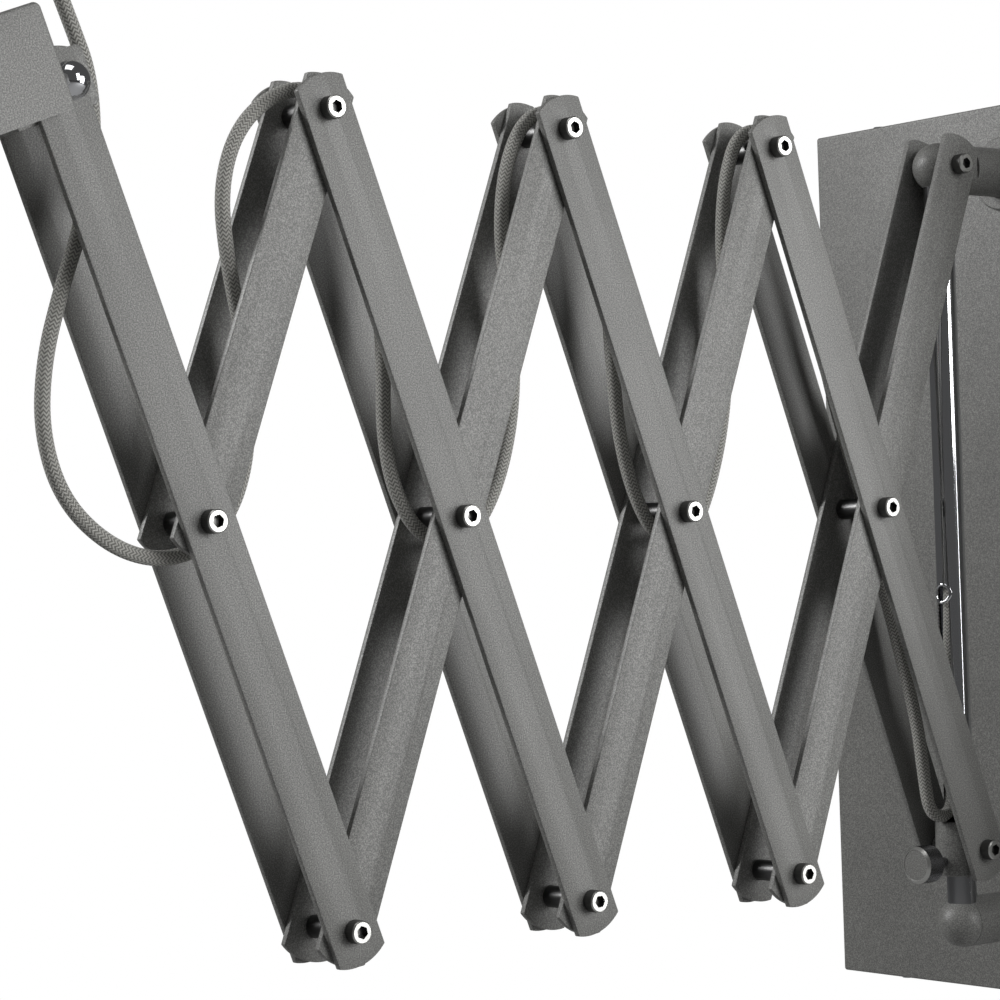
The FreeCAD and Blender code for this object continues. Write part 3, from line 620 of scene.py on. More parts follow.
def point_along(axis: str, y: float, z: float, x: float = 0.0, tilt_deg: float = 0.0) -> Matrix:
    """Placement that turns a piece's +Z to a direction.

    Args:
        axis: The direction: +X, -X, +Y, -Y, +Z or -Z.
        y: Place in millimetres.
        z: Place in millimetres.
        x: Place in millimetres.
        tilt_deg: A further turn of the piece about its own axis.

    Returns:
        The placement.
    """
    turns = {
        "+X": Matrix.Rotation(math.pi / 2, 4, "Y"), "-X": Matrix.Rotation(-math.pi / 2, 4, "Y"),
        "+Y": Matrix.Rotation(-math.pi / 2, 4, "X"), "-Y": Matrix.Rotation(math.pi / 2, 4, "X"),
        "+Z": Matrix.Identity(4), "-Z": Matrix.Rotation(math.pi, 4, "X"),
    }
    spin = Matrix.Rotation(math.radians(tilt_deg), 4, "Z")
    return shift(x, y, z) @ turns[axis] @ spin


# ------------------------------------------------------------------------------------ the lamp's layout
@dataclass(frozen=True)
class Layout:
    """Places that the sub-assemblies share, in millimetres and degrees."""

    bays: int = 4
    half_link: float = 184.0
    tilt_deg: float = 20.7
    tube_y: float = -72.0
    upper_z: float = 194.0
    lower_z: float = -188.0
    inner: float = 11.0
    link: float = 3.0
    washer: float = 0.4
    hole: float = 3.05

    @property
    def pitch(self) -> float:
        """Distance between neighbouring pivots of a row."""
        return 2.0 * self.half_link * math.sin(math.radians(self.tilt_deg))

    @property
    def drop(self) -> float:
        """Height from the upper row of pivots to the lower row."""
        return 2.0 * self.half_link * math.cos(math.radians(self.tilt_deg))

    @property
    def outer(self) -> float:
        """Inner face of the outer bars."""
        return self.inner + self.link + self.washer

    @property
    def seat(self) -> float:
        """Outer face of the outer bars, where the screw heads sit."""
        return self.outer + self.link

    def upper(self, k: int) -> tuple[float, float]:
        """Place of upper pivot k."""
        return self.tube_y - (self.bays - k) * self.pitch, self.upper_z

    def middle(self, k: int) -> tuple[float, float]:
        """Place of crossing k."""
        return self.tube_y - (self.bays - k + 0.5) * self.pitch, self.upper_z - self.drop / 2.0

    def lower(self, k: int) -> tuple[float, float]:
        """Place of lower pivot k."""
        return self.tube_y - (self.bays - k) * self.pitch, self.upper_z - self.drop


LAYOUT = Layout()


# ------------------------------------------------------------------------------------ arm
@dataclass
class Arm:
    """The scissor arm: bars, spacers, washers and cap screws."""

    layout: Layout = LAYOUT
    width: float = 25.0
    end_radius: float = 24.0
    end_reach: float = 15.0
    edge: float = 0.35
    spacer_radius: float = 5.0
    washer_radius: float = 6.0
    head_radius: float = 5.0
    head_height: float = 6.0
    head_edge: float = 0.55
    shank_radius: float = 3.0
    screw_length: float = 16.0
    wall_screw_length: float = 9.8
    collar_screw_length: float = 8.0
    socket_flats: float = 5.0
    socket_depth: float = 3.0
    ridges: int = 36
    ridge_depth: float = 0.16

    def bar(self, name: str, length: float, holes: list[float]) -> bpy.types.Object:
        """Flat bar along +Z from its first pivot, its thickness from X = 0.

        Args:
            name: The piece's name.
            length: Distance between its end pivots.
            holes: Distances of its pivots.

        Returns:
            The bar.
        """
        thick = self.layout.link
        inset = self.end_radius - self.end_reach
        obj = Bench.turned(name, [(0.0, self.end_radius), (thick, self.end_radius)], 132)
        Bench.settle(obj, point_along("+X", 0.0, inset))
        Bench.pick(obj, "VERT", lambda p: p.z > inset + 0.01)
        bpy.ops.transform.translate(value=(0, 0, (length - 2.0 * inset) * MM))
        half = self.width / 2.0
        for side in (1.0, -1.0):
            bpy.ops.mesh.select_all(action="SELECT")
            bpy.ops.mesh.bisect(plane_co=(0, side * half * MM, 0), plane_no=(0, side, 0), use_fill=True,
                                clear_outer=True)
        Bench.done(obj, merge=True)
        Bench.modify(obj, "BEVEL", width=self.edge * MM, segments=2, limit_method="ANGLE", angle_limit=0.6)
        cutters = []
        for at in holes:
            cutter = Bench.turned("cutter", [(-1.0, self.layout.hole), (thick + 1.0, self.layout.hole)], 32)
            cutters.append(Bench.settle(cutter, point_along("+X", 0.0, at)))
        return Bench.carve(obj, cutters)

    def cap_screw(self, name: str, length: float) -> bpy.types.Object:
        """Socket-head cap screw along +Z with its head's seat at Z = 0 and its tip below.

        Args:
            name: The piece's name.
            length: Length under the head.

        Returns:
            The screw, black with a bright face.
        """
        r, h, e, shank = self.head_radius, self.head_height, self.head_edge, self.shank_radius
        rings = [(-length, shank - 0.5), (-length + 0.5, shank), (-0.02, shank), (0.0, r - 0.3), (0.3, r),
                 (h - e - 0.4, r), (h - e, r - 0.05), (h - 0.1, r - e + 0.05), (h, r - e - 0.1)]
        obj = Bench.turned(name, rings, 2 * self.ridges)
        Bench.ridge(obj, r, self.ridge_depth, self.ridges, 0.2, h - e - 0.2)
        hexagon = Bench.turned("cutter", [(h - self.socket_depth, self.socket_flats / math.sqrt(3.0)),
                                          (h + 1.0, self.socket_flats / math.sqrt(3.0))], 6)
        Bench.carve(obj, [hexagon])
        Bench.paint(obj, Finish.BLACK_STEEL, Finish.BRIGHT_STEEL)
        for face in obj.data.polygons:
            face.material_index = 1 if face.center.z / MM > h - e - 0.1 else 0
        return obj

    def build(self) -> None:
        """Builds every bar, spacer, washer and screw of the arm."""
        lay = self.layout
        a = lay.half_link
        full = self.bar("full_bar", 2 * a, [0.0, a, 2 * a])
        half = self.bar("half_bar", a, [0.0, a])
        screw = self.cap_screw("pivot_screw", self.screw_length)
        spacer = Bench.turned("spacer", [(-lay.inner, 4.2), (-lay.inner + 0.6, self.spacer_radius),
                                         (lay.inner - 0.6, self.spacer_radius), (lay.inner, 4.2)], 48)
        washer = Bench.turned("washer", [(0.0, self.washer_radius), (lay.washer, self.washer_radius)], 40)
        tilt = math.radians(lay.tilt_deg)
        for k in range(1, lay.bays + 1):
            down, up = "down_links_%d" % k, "up_links_%d" % k
            for side, face in (("near", lay.outer), ("far", -lay.outer - lay.link)):
                y, z = lay.upper(k - 1)
                place = shift(face, y, z) @ Matrix.Rotation(math.pi + tilt, 4, "X")
                bar = Bench.repeat("down_bar_%d_%s" % (k, side), full, [place])
                Bench.dress(bar, Finish.COAT, down, ["down_link_%d_%s" % (k, side)])
            for side, face in (("near", lay.inner), ("far", -lay.inner - lay.link)):
                y, z = lay.upper(k)
                place = shift(face, y, z) @ Matrix.Rotation(math.pi - tilt, 4, "X")
                bar = Bench.repeat("up_bar_%d_%s" % (k, side), half if k == 1 else full, [place])
                Bench.dress(bar, Finish.COAT, up, ["up_link_%d_%s" % (k, side)])
            spots = [lay.middle(k)]
            if k > 1:
                spots.append(lay.upper(k - 1))
            if k < lay.bays:
                spots.append(lay.lower(k))
            Bench.dress(Bench.repeat("spacer_set_%d" % k, spacer, [point_along("+X", y, z) for y, z in spots]),
                        Finish.SPACER, down, ["spacers_%d" % k])
            self.screws("screw_set_%d" % k, screw, spots, lay.seat, down, "screws_%d" % k)
            rings = spots + ([lay.upper(0)] if k == 1 else []) + ([lay.lower(lay.bays)] if k == lay.bays else [])
            places = [point_along("+X", y, z, lay.inner + lay.link) for y, z in rings]
            places += [point_along("-X", y, z, -lay.inner - lay.link) for y, z in rings]
            Bench.dress(Bench.repeat("washer_set_%d" % k, washer, places), Finish.NYLON, down, ["washers_%d" % k])
        top = lay.upper(lay.bays)
        self.screws("wall_screw_set", screw, [top], lay.inner + lay.link, "wall_unit", "wall_pivot_screws",
                    self.wall_screw_length)
        self.screws("collar_screw_set", screw, [lay.lower(lay.bays)], lay.seat, "slider", "slider_screws",
                    self.collar_screw_length)
        for used in (full, half, screw, spacer, washer):
            bpy.data.objects.remove(used, do_unlink=True)

    def screws(self, name: str, master: bpy.types.Object, spots: list[tuple[float, float]], seat: float,
               body: str, node: str, length: float = 0.0) -> None:
        """Puts a screw on each side at each pivot.

        Args:
            name: The set's name.
            master: The screw.
            spots: The pivots.
            seat: X of the head's seat.
            body: The body that they ride on.
            node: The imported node.
            length: Their own length, where it isn't the master's.
        """
        screw = master if not length else self.cap_screw("short_screw", length)
        places = []
        for i, (y, z) in enumerate(spots):
            places.append(point_along("+X", y, z, seat, 17.0 + 23.0 * i))
            places.append(point_along("-X", y, z, -seat, 41.0 + 31.0 * i))
        Bench.dress(Bench.repeat(name, screw, places), Finish.BLACK_STEEL, body, [node], keep_slots=True)
        if length:
            bpy.data.objects.remove(screw, do_unlink=True)


# ------------------------------------------------------------------------------------ wall unit
@dataclass
class WallUnit:
    """The sheet pan on the wall, its rails, the two posts and the slide tube."""

    layout: Layout = LAYOUT
    width: float = 270.0
    height: float = 460.0
    depth: float = 22.0
    sheet: float = 2.0
    post_radius: float = 12.5
    flange_radius: float = 19.0
    flange: float = 2.4
    tube_radius: float = 7.5
    tube_wall: float = 1.0
    slot: float = 7.5
    slot_top: float = 212.0
    slot_bottom: float = 352.0
    corner: float = 1.5
    fold: float = 1.3
    dome_rings: int = 21

    def pan(self) -> None:
        """Folded pan with soft edges, open to the wall."""
        w, h, d = self.width / 2, self.height / 2, self.depth
        pan = Bench.block("wall_pan", (-w, -d, -h), (w, 0, h))
        Bench.pick(pan, "EDGE", lambda p, along: abs(abs(p.x) - w) < 0.1 and abs(abs(p.z) - h) < 0.1)
        bpy.ops.mesh.bevel(offset=self.corner * MM, segments=5, affect="EDGES")
        Bench.done(pan)
        Bench.pick(pan, "EDGE", lambda p, along: p.y < -d + 0.01)
        bpy.ops.mesh.bevel(offset=self.fold * MM, segments=4, affect="EDGES")
        Bench.done(pan)
        Bench.pick(pan, "FACE", lambda p, n: n.y > 0.9)
        bpy.ops.mesh.delete(type="FACE")
        bpy.ops.object.mode_set(mode="OBJECT")
        Bench.modify(pan, "SOLIDIFY", thickness=self.sheet * MM, offset=-1.0, use_even_offset=True)
        Bench.dress(pan, Finish.COAT, "wall_unit", ["wall_cover"])

    def post(self, name: str, z: float, node: str, flats: bool = False) -> None:
        """Turned post with a domed end.

        Args:
            name: The piece's name.
            z: Its height.
            node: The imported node.
            flats: Whether its sides are milled flat for the bars.
        """
        r, reach = self.post_radius, -self.layout.tube_y
        rings = [(self.depth - 12.0, 7.0), (self.depth, 7.0), (self.depth + 0.01, r), (reach - 0.5, r),
                 (reach - 0.25, r - 0.35), (reach, r - 0.02)]
        for i in range(1, self.dome_rings):
            turn = math.pi / 2 * i / self.dome_rings
            rings.append((reach + r * math.sin(turn), r * math.cos(turn)))
        rings.append((reach + r, 0.05))
        post = Bench.turned(name, rings, 96)
        if flats:
            inner = self.layout.inner
            sides = [Bench.block("cutter", (min(s * inner, s * 30.0), -30.0, -30.0),
                                 (max(s * inner, s * 30.0), 30.0, reach + 30.0)) for s in (1.0, -1.0)]
            for side in sides:
                Bench.settle(side, shift(0, 0, reach + 12.0))
            Bench.carve(post, sides)
        Bench.settle(post, point_along("-Y", 0.0, z))
        Bench.dress(post, Finish.COAT, "wall_unit", [node])

    def tube(self) -> None:
        """Chromed tube with a round-ended slot towards the head."""
        y, r = self.layout.tube_y, self.tube_radius
        low, high = self.layout.lower_z + 4.0, self.layout.upper_z - 4.0
        tube = Bench.turned("chromed_tube", [(low, r), (high, r)], 128)
        bore = Bench.turned("cutter", [(low - 1.0, r - self.tube_wall), (high + 1.0, r - self.tube_wall)], 96)
        s = self.slot / 2.0
        top, bottom = self.layout.upper_z - self.slot_top - s, self.layout.upper_z - self.slot_bottom + s
        slot = Bench.turned("cutter", [(0.0, s), (r + 4.0, s)], 48)
        Bench.settle(slot, point_along("-Y", 0.0, 0.0))
        Bench.pick(slot, "VERT", lambda p: p.z > 0.01)
        bpy.ops.transform.translate(value=(0, 0, (top - bottom) * MM))
        Bench.done(slot)
        Bench.settle(slot, shift(0, 0, bottom))
        Bench.carve(tube, [bore, slot])
        Bench.settle(tube, shift(0, y, 0))
        Bench.dress(tube, Finish.CHROME, "wall_unit", ["slide_tube"], 20.0)
        self.eyelet(y, top, s)

    def eyelet(self, y: float, z: float, s: float) -> None:
        """Rolled eyelet round the slot's top end, bent to the tube.

        Args:
            y: The tube's axis.
            z: The eyelet's centre.
            s: The slot's half width.
        """
        Bench.clear()
        bpy.ops.mesh.primitive_torus_add(
            major_radius=(s + 0.75) * MM, minor_radius=0.7 * MM, major_segments=48, minor_segments=12)
        ring = bpy.context.object
        ring.name = "slot_eyelet"
        Bench.settle(ring, Matrix.Rotation(math.pi / 2, 4, "X"))
        r = self.tube_radius
        for vertex in ring.data.vertices:
            bend = math.sqrt(max(r * r - (vertex.co.x / MM) ** 2, 0.0))
            vertex.co.y = vertex.co.y * 0.45 - bend * MM - 0.1 * MM
        Bench.settle(ring, shift(0, y, z))
        Bench.dress(ring, Finish.CHROME, "wall_unit", ["slot_grommet"], 60.0)

    def build(self) -> None:
        """Builds and dresses everything that stays on the wall."""
        self.pan()
        self.post("upper_wall_post", self.layout.upper_z, "upper_post", True)
        self.post("lower_wall_post", self.layout.lower_z, "lower_post")
        r, t, d = self.flange_radius, self.flange, self.depth
        rose = Bench.turned("post_rose", [(d, r), (d + t - 0.8, r), (d + t, r - 0.8), (d + t, self.post_radius + 0.4),
                                          (d + t - 0.3, self.post_radius + 0.05)], 96)
        places = [point_along("-Y", 0.0, z) for z in (self.layout.upper_z, self.layout.lower_z)]
        Bench.dress(Bench.repeat("post_roses", rose, places), Finish.COAT, "wall_unit", ["post_flanges"])
        bpy.data.objects.remove(rose, do_unlink=True)
        self.tube()
        for node, finish in (("wall_rails", Finish.ZINC), ("rail_screws", Finish.ZINC), ("post_nuts", Finish.ZINC),
                             ("led_driver", Finish.WHITE_PLASTIC), ("terminal_block", Finish.BLACK_PLASTIC)):
            Bench.repaint(node, finish)


# ------------------------------------------------------------------------------------ slider
@dataclass
class Slider:
    """The collar on the tube and its thumb screw."""

    layout: Layout = LAYOUT
    radius: float = 12.5
    height: float = 27.0
    bore: float = 8.65
    trunnion: float = 6.0
    thumb_radius: float = 9.4
    thumb_length: float = 11.5
    thumb_face: float = 33.3
    thumb_drop: float = 6.2
    ridges: int = 34
    ridge_depth: float = 0.35

    def build(self) -> None:
        """Builds the collar and the thumb screw."""
        y, z = self.layout.lower(self.layout.bays)
        h = self.height / 2
        collar = Bench.turned("slider_sleeve", [(-h, self.radius - 0.5), (-h + 0.5, self.radius),
                                                (h - 0.5, self.radius), (h, self.radius - 0.5)], 96)
        cross = Bench.turned("cutter", [(-14.0, self.trunnion - 0.2), (-13.8, self.trunnion),
                                        (13.8, self.trunnion), (14.0, self.trunnion - 0.2)], 48)
        Bench.settle(cross, point_along("+X", 0.0, 0.0))
        Bench.carve(collar, [cross], "UNION")
        bore = Bench.turned("cutter", [(-h - 1.0, self.bore), (h + 1.0, self.bore)], 64)
        Bench.carve(collar, [bore])
        Bench.settle(collar, shift(0, y, z))
        Bench.dress(collar, Finish.COAT, "slider", ["slider_collar"])
        Bench.repaint("slider_bush", Finish.NYLON)
        self.thumb(y, z - self.thumb_drop)

    def thumb(self, y: float, z: float) -> None:
        """Ridged thumb screw with a bright chamfer round its face.

        Args:
            y: The tube's axis.
            z: The screw's height.
        """
        r, face, back = self.thumb_radius, self.thumb_face, self.thumb_face - self.thumb_length
        rings = [(8.8, 2.5), (back - 0.01, 2.5), (back, r - 1.0), (back + 0.5, r - 0.3), (back + 0.8, r),
                 (face - 1.5, r), (face - 1.3, r - 0.1), (face - 0.15, r - 1.15), (face, r - 1.3), (face, r - 1.6),
                 (face - 0.25, r - 2.0)]
        knob = Bench.turned("thumb_knob", rings, 2 * self.ridges)
        Bench.ridge(knob, r, self.ridge_depth, self.ridges, back + 0.7, face - 1.4)
        Bench.paint(knob, Finish.THUMB, Finish.BRIGHT_STEEL, Finish.COAT)
        for polygon in knob.data.polygons:
            out = math.hypot(polygon.center.x, polygon.center.y) / MM
            height = polygon.center.z / MM
            if height > face - 1.45 and out > r - 1.5:
                polygon.material_index = 1
            elif height > face - 0.4:
                polygon.material_index = 2
        Bench.settle(knob, point_along("-Y", y, z))
        Bench.dress(knob, Finish.THUMB, "thumb", ["thumb_screw"], keep_slots=True)


# ------------------------------------------------------------------------------------ head
@dataclass
class Head:
    """The lamp head: housing, pivot block, ball knob, gland, light board and diffuser."""

    layout: Layout = LAYOUT
    half_width: float = 60.0
    length: float = 150.0
    back: float = 21.4
    top: float = 32.8
    bottom: float = 9.3
    sheet: float = 2.0
    round: float = 3.0
    block_back: float = 18.5
    block_half: float = 12.5
    ball_radius: float = 8.0
    ball_x: float = 27.0
    gland_at: float = 62.0
    edge: float = 1.2
    ball_rings: int = 24

    @property
    def place(self) -> Matrix:
        """Placement of the head's own frame on its pivot."""
        y, z = self.layout.upper(0)
        tilt = Matrix.Rotation(math.radians(self.layout.tilt_deg), 4, "X")
        return shift(0, y, z) @ tilt

    def housing(self) -> None:
        """Folded housing, open below."""
        w, b, f = self.half_width, -self.back, -self.back - self.length
        shell = Bench.block("lamp_housing", (-w, f, -self.bottom), (w, b, self.top))
        Bench.pick(shell, "EDGE", lambda p, along: abs(along.x) > 0.01 and p.z > 30.0)
        bpy.ops.mesh.bevel(offset=self.round * MM, segments=10, affect="EDGES")
        Bench.done(shell)
        Bench.pick(shell, "EDGE", lambda p, along: abs(abs(p.x) - w) < 0.01 and p.z > -self.bottom + 0.1)
        bpy.ops.mesh.bevel(offset=self.edge * MM, segments=4, affect="EDGES")
        Bench.done(shell)
        Bench.pick(shell, "FACE", lambda p, n: n.z < -0.9)
        bpy.ops.mesh.delete(type="FACE")
        bpy.ops.object.mode_set(mode="OBJECT")
        Bench.modify(shell, "SOLIDIFY", thickness=self.sheet * MM, offset=-1.0, use_even_offset=True)
        Bench.settle(shell, self.place)
        Bench.dress(shell, Finish.LIGHT_COAT, "head", ["head_housing"])

    def pivot_block(self) -> None:
        """Rounded block between the last bars."""
        h = self.block_half
        block = Bench.block("pivot_block", (-14.0, -self.back, -h), (14.0, self.block_back, h))
        Bench.pick(block, "EDGE", lambda p, along: abs(along.x) > 0.01 and p.y > 10.0)
        bpy.ops.mesh.bevel(offset=3.0 * MM, segments=6, affect="EDGES")
        Bench.done(block)
        Bench.modify(block, "BEVEL", width=0.4 * MM, segments=2, limit_method="ANGLE", angle_limit=0.7)
        Bench.settle(block, self.place)
        Bench.dress(block, Finish.LIGHT_COAT, "head", ["head_block"])

    def ball(self) -> None:
        """Polished ball on a short neck with a turned foot ring."""
        r, x, seat = self.ball_radius, self.ball_x, self.layout.seat
        rings = [(seat + 0.02, 5.3), (seat + 0.3, 5.6), (seat + 1.1, 5.6), (seat + 1.4, 5.2), (seat + 1.6, 4.4)]
        start = math.asin(4.3 / r)
        for i in range(self.ball_rings):
            turn = start + (math.pi - start) * i / self.ball_rings
            rings.append((x - r * math.cos(turn), r * math.sin(turn)))
        rings.append((x + r, 0.04))
        ball = Bench.turned("ball_grip", rings, 64)
        Bench.settle(ball, self.place @ point_along("+X", 0.0, 0.0))
        Bench.dress(ball, Finish.CHROME, "ball", ["ball_knob"], 50.0)

    def gland(self) -> None:
        """Cord gland: hexagon foot and domed sealing nut."""
        at = self.top
        foot = Bench.turned("cord_gland_body", [(at, 8.4), (at + 0.4, 8.66), (at + 4.6, 8.66), (at + 5.0, 8.2)], 6)
        dome = Bench.turned("cutter", [(at + 4.0, 6.4), (at + 5.4, 6.4), (at + 5.6, 7.1), (at + 11.0, 7.1),
                                       (at + 12.6, 6.5), (at + 13.7, 5.3), (at + 14.0, 4.6)], 48)
        Bench.carve(foot, [dome], "UNION")
        bore = Bench.turned("cutter", [(at - 1.0, 3.3), (at + 15.0, 3.3)], 32)
        Bench.carve(foot, [bore])
        Bench.settle(foot, self.place @ shift(0, -self.gland_at, 0))
        Bench.dress(foot, Finish.BLACK_PLASTIC, "head", ["cord_gland"])

    def build(self) -> None:
        """Builds and dresses the head."""
        self.housing()
        self.pivot_block()
        self.ball()
        self.gland()
        axle = Arm().cap_screw("head_axle_screw", 2 * self.layout.seat + 10.0)
        Bench.settle(axle, self.place @ point_along("-X", 0.0, 0.0, -self.layout.seat, 12.0))
        Bench.dress(axle, Finish.BLACK_STEEL, "head", ["head_axle"], keep_slots=True)
        for node, finish in (("head_screws", Finish.ZINC), ("heat_sink", Finish.ALUMINIUM),
                             ("led_board", Finish.BOARD), ("diffuser", Finish.OPAL)):
            Bench.repaint(node, finish)


# ------------------------------------------------------------------------------------ cord
@dataclass(frozen=True)
class Stretch:
    """One stretch of the cord, up to its stop, and the bodies that it joins."""

    name: str
    node: str
    stop: tuple[float, float, float]
    body: str
    other: str = ""
    turn_start: tuple[float, float, float] = (0.0, 0.0, 0.0)
    turn_stop: tuple[float, float, float] = (0.0, 0.0, 0.0)


@dataclass
class Cord:
    """The braided cord on its listed route, in millimetres."""

    radius: float = 3.25
    sides: int = 20
    least: int = 5
    route: list[tuple[float, float, float]] = field(default_factory=lambda: [
        (0, -659.5, 196.4), (0, -669.4, 222.6), (0, -678.0, 249.3), (0, -675.0, 274.0), (0, -656.0, 292.0),
        (0, -628.0, 294.5), (0, -602.0, 277.0), (0, -586.0, 248.0), (0, -575.0, 222.0), (0, -567.0, 202.0),
        (0, -566.0, 172.0), (0, -572.0, 144.0), (0, -583.0, 116.0), (0, -592.0, 87.0), (0, -594.0, 58.0),
        (0, -585.0, 31.0), (0, -563.0, 12.0), (0, -538.0, 6.0), (0, -515.0, 14.0), (0, -500.0, 36.0),
        (0, -495.0, 66.0), (0, -497.0, 98.0), (0, -504.0, 130.0), (0, -506.5, 161.0), (0, -496.0, 188.0),
        (0, -473.0, 204.5), (0, -451.0, 204.0), (0, -440.0, 180.0), (0, -433.0, 152.0), (0, -426.5, 121.0),
        (0, -425.0, 89.0), (0, -426.5, 60.0), (0, -422.0, 34.0), (0, -408.0, 13.0), (0, -384.0, 9.5),
        (0, -367.0, 30.0), (0, -356.5, 58.0), (0, -352.5, 89.0), (0, -355.0, 120.0), (0, -358.5, 152.0),
        (0, -353.0, 182.0), (0, -340.0, 203.0), (0, -317.5, 205.0), (0, -306.0, 182.0), (0, -300.0, 152.0),
        (0, -296.0, 121.0), (0, -294.5, 89.0), (0, -292.0, 58.0), (0, -284.0, 30.0), (0, -270.5, 9.5),
        (0, -248.0, 12.0), (0, -236.0, 34.0), (0, -227.0, 62.0), (0, -222.5, 93.0), (0, -222.5, 125.0),
        (0, -223.5, 156.0), (0, -219.0, 184.0), (0, -209.0, 204.0), (0, -187.5, 204.5), (0, -176.5, 182.0),
        (-1, -169.0, 152.0), (-2.5, -161.0, 121.0), (-4, -152.0, 89.0), (-5.5, -140.5, 59.0),
        (-6, -128.5, 28.0), (-6, -121.5, 2.0), (-5, -113.0, -28.0), (-3.5, -105.0, -58.0),
        (-2, -98.0, -88.0), (-1, -96.0, -112.0), (0, -93.5, -133.0), (0, -77.5, -133.5), (0, -76.2, -112.0),
        (0, -76.0, -86.0), (0, -75.2, -52.0), (0, -73.2, -12.0), (0, -71.2, 40.0), (0, -71.6, 92.0),
        (0, -74.0, 134.0), (0, -74.6, 167.0), (0, -75.0, 194.2), (0, -48.0, 193.7), (0, -24.0, 194.2),
        (0, -5.2, 194.0), (0, -6.0, 175.5), (0, -6.0, 157.0),
    ])

    def line(self) -> list[Vector]:
        """Reads the cord's line from a smooth spline through the route.

        Returns:
            Points in metres, close together.
        """
        curve = bpy.data.curves.new("cord_line", "CURVE")
        curve.dimensions = "3D"
        curve.resolution_u = 14
        spline = curve.splines.new("NURBS")
        spline.points.add(len(self.route) - 1)
        for point, (x, y, z) in zip(spline.points, self.route):
            point.co = (x * MM, y * MM, z * MM, 1.0)
        spline.order_u = 3
        spline.use_endpoint_u = True
        holder = bpy.data.objects.new("cord_line", curve)
        bpy.context.scene.collection.objects.link(holder)
        bpy.context.view_layer.update()
        mesh = bpy.data.meshes.new_from_object(holder.evaluated_get(bpy.context.evaluated_depsgraph_get()))
        points = [v.co.copy() for v in mesh.vertices]
        bpy.data.objects.remove(holder, do_unlink=True)
        bpy.data.meshes.remove(mesh)
        return points

    def tube(self, name: str, points: list[Vector], before: float) -> bpy.types.Object:
        """Round tube along points, with U round it and V along it in metres.

        Args:
            name: The piece's name.
            points: Its line.
            before: Length of cord before it, so that the weave runs on.

        Returns:
            The tube.
        """
        verts: list[Vector] = []
        lengths = [before]
        side = Vector((1.0, 0.0, 0.0))
        for i, point in enumerate(points):
            ahead = points[min(i + 1, len(points) - 1)] - points[max(i - 1, 0)]
            ahead.normalize()
            across = (side - ahead * side.dot(ahead)).normalized()
            up = ahead.cross(across)
            for j in range(self.sides):
                turn = 2 * math.pi * j / self.sides
                verts.append(point + (across * math.cos(turn) + up * math.sin(turn)) * self.radius * MM)
            if i:
                lengths.append(lengths[-1] + (point - points[i - 1]).length)
        faces = []
        uvs = []
        n = self.sides
        for i in range(len(points) - 1):
            for j in range(n):
                k = (j + 1) % n
                faces.append((i * n + j, i * n + k, (i + 1) * n + k, (i + 1) * n + j))
                u0, u1 = j / n, (j + 1) / n
                uvs += [(u0, lengths[i]), (u1, lengths[i]), (u1, lengths[i + 1]), (u0, lengths[i + 1])]
        last = (len(points) - 1) * n
        faces.append(tuple(range(n))[::-1])
        faces.append(tuple(range(last, last + n)))
        uvs += [(0.5, lengths[0])] * n + [(0.5, lengths[-1])] * n
        mesh = bpy.data.meshes.new(name)
        mesh.from_pydata(verts, [], faces)
        layer = mesh.uv_layers.new(name="UVMap")
        for loop, uv in zip(layer.data, uvs):
            loop.uv = uv
        mesh.update()
        obj = bpy.data.objects.new(name, mesh)
        bpy.context.scene.collection.objects.link(obj)
        return obj

    def stretches(self) -> list[Stretch]:
        """The stretches between the arm's crossings, each with a span for a bend that the build does not use."""
        lay = LAYOUT
        stops = [(0, -566.0, 176.0), (0, -495.5, 82.0), (0, -425.5, 96.0), (0, -352.8, 89.0),
                (0, -294.8, 96.0), (0, -222.6, 100.0), (-1, -168.0, 149.0), (-1, -95.8, -110.0),
                (0, -72.0, 22.0), self.route[-1]]
        joins = [("cord_at_head", "cord_head", "head", "down_links_1", (-645.0, -575.0))]
        for k in (1, 2, 3):
            crossing, pivot = lay.middle(k)[0], lay.upper(k)[0]
            joins.append(("cord_under_%d" % k, "cord_bay_%d" % k, "down_links_%d" % k, "up_links_%d" % k,
                          (crossing - 15.0, crossing + 15.0)))
            joins.append(("cord_over_%d" % k, "cord_bay_%d" % k, "up_links_%d" % k, "down_links_%d" % (k + 1),
                          (pivot - 13.0, pivot + 13.0)))
        out = []
        for i, (name, node, body, other, (a, b)) in enumerate(joins):
            out.append(Stretch(name, node, stops[i], body, other, (0, a, 0), (0, b, 0)))
        out.append(Stretch("cord_to_slider", "cord_tail", stops[7], "down_links_4", "slider",
                           (0, -112.0, -20.0), (0, -97.0, -100.0)))
        out.append(Stretch("cord_in_slot", "cord_slider", stops[8], "slider"))
        out.append(Stretch("cord_in_wall_unit", "cord_wall", stops[9], "wall_unit"))
        return out

    def build(self) -> None:
        points = self.line()
        travelled = 0.0
        at = 0
        for stretch in self.stretches():
            goal = Vector(stretch.stop) * MM
            window = points[at + self.least:]
            end = at + self.least + min(range(len(window)), key=lambda i: (window[i] - goal).length)
            piece = points[at:end + 1]
            length = sum((b - a).length for a, b in zip(piece, piece[1:]))
            obj = self.tube(stretch.name, piece, travelled)
            Bench.only(obj)
            bpy.ops.object.shade_smooth_by_angle(angle=math.radians(40))
            Bench.paint(obj, Finish.BRAID)
            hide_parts(stretch.node)
            if stretch.other:
                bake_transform(obj)
            else:
                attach(obj, stretch.body)
            log.info("%s: %.1f mm of cord", stretch.name, length / MM)
            travelled += length
            at = end


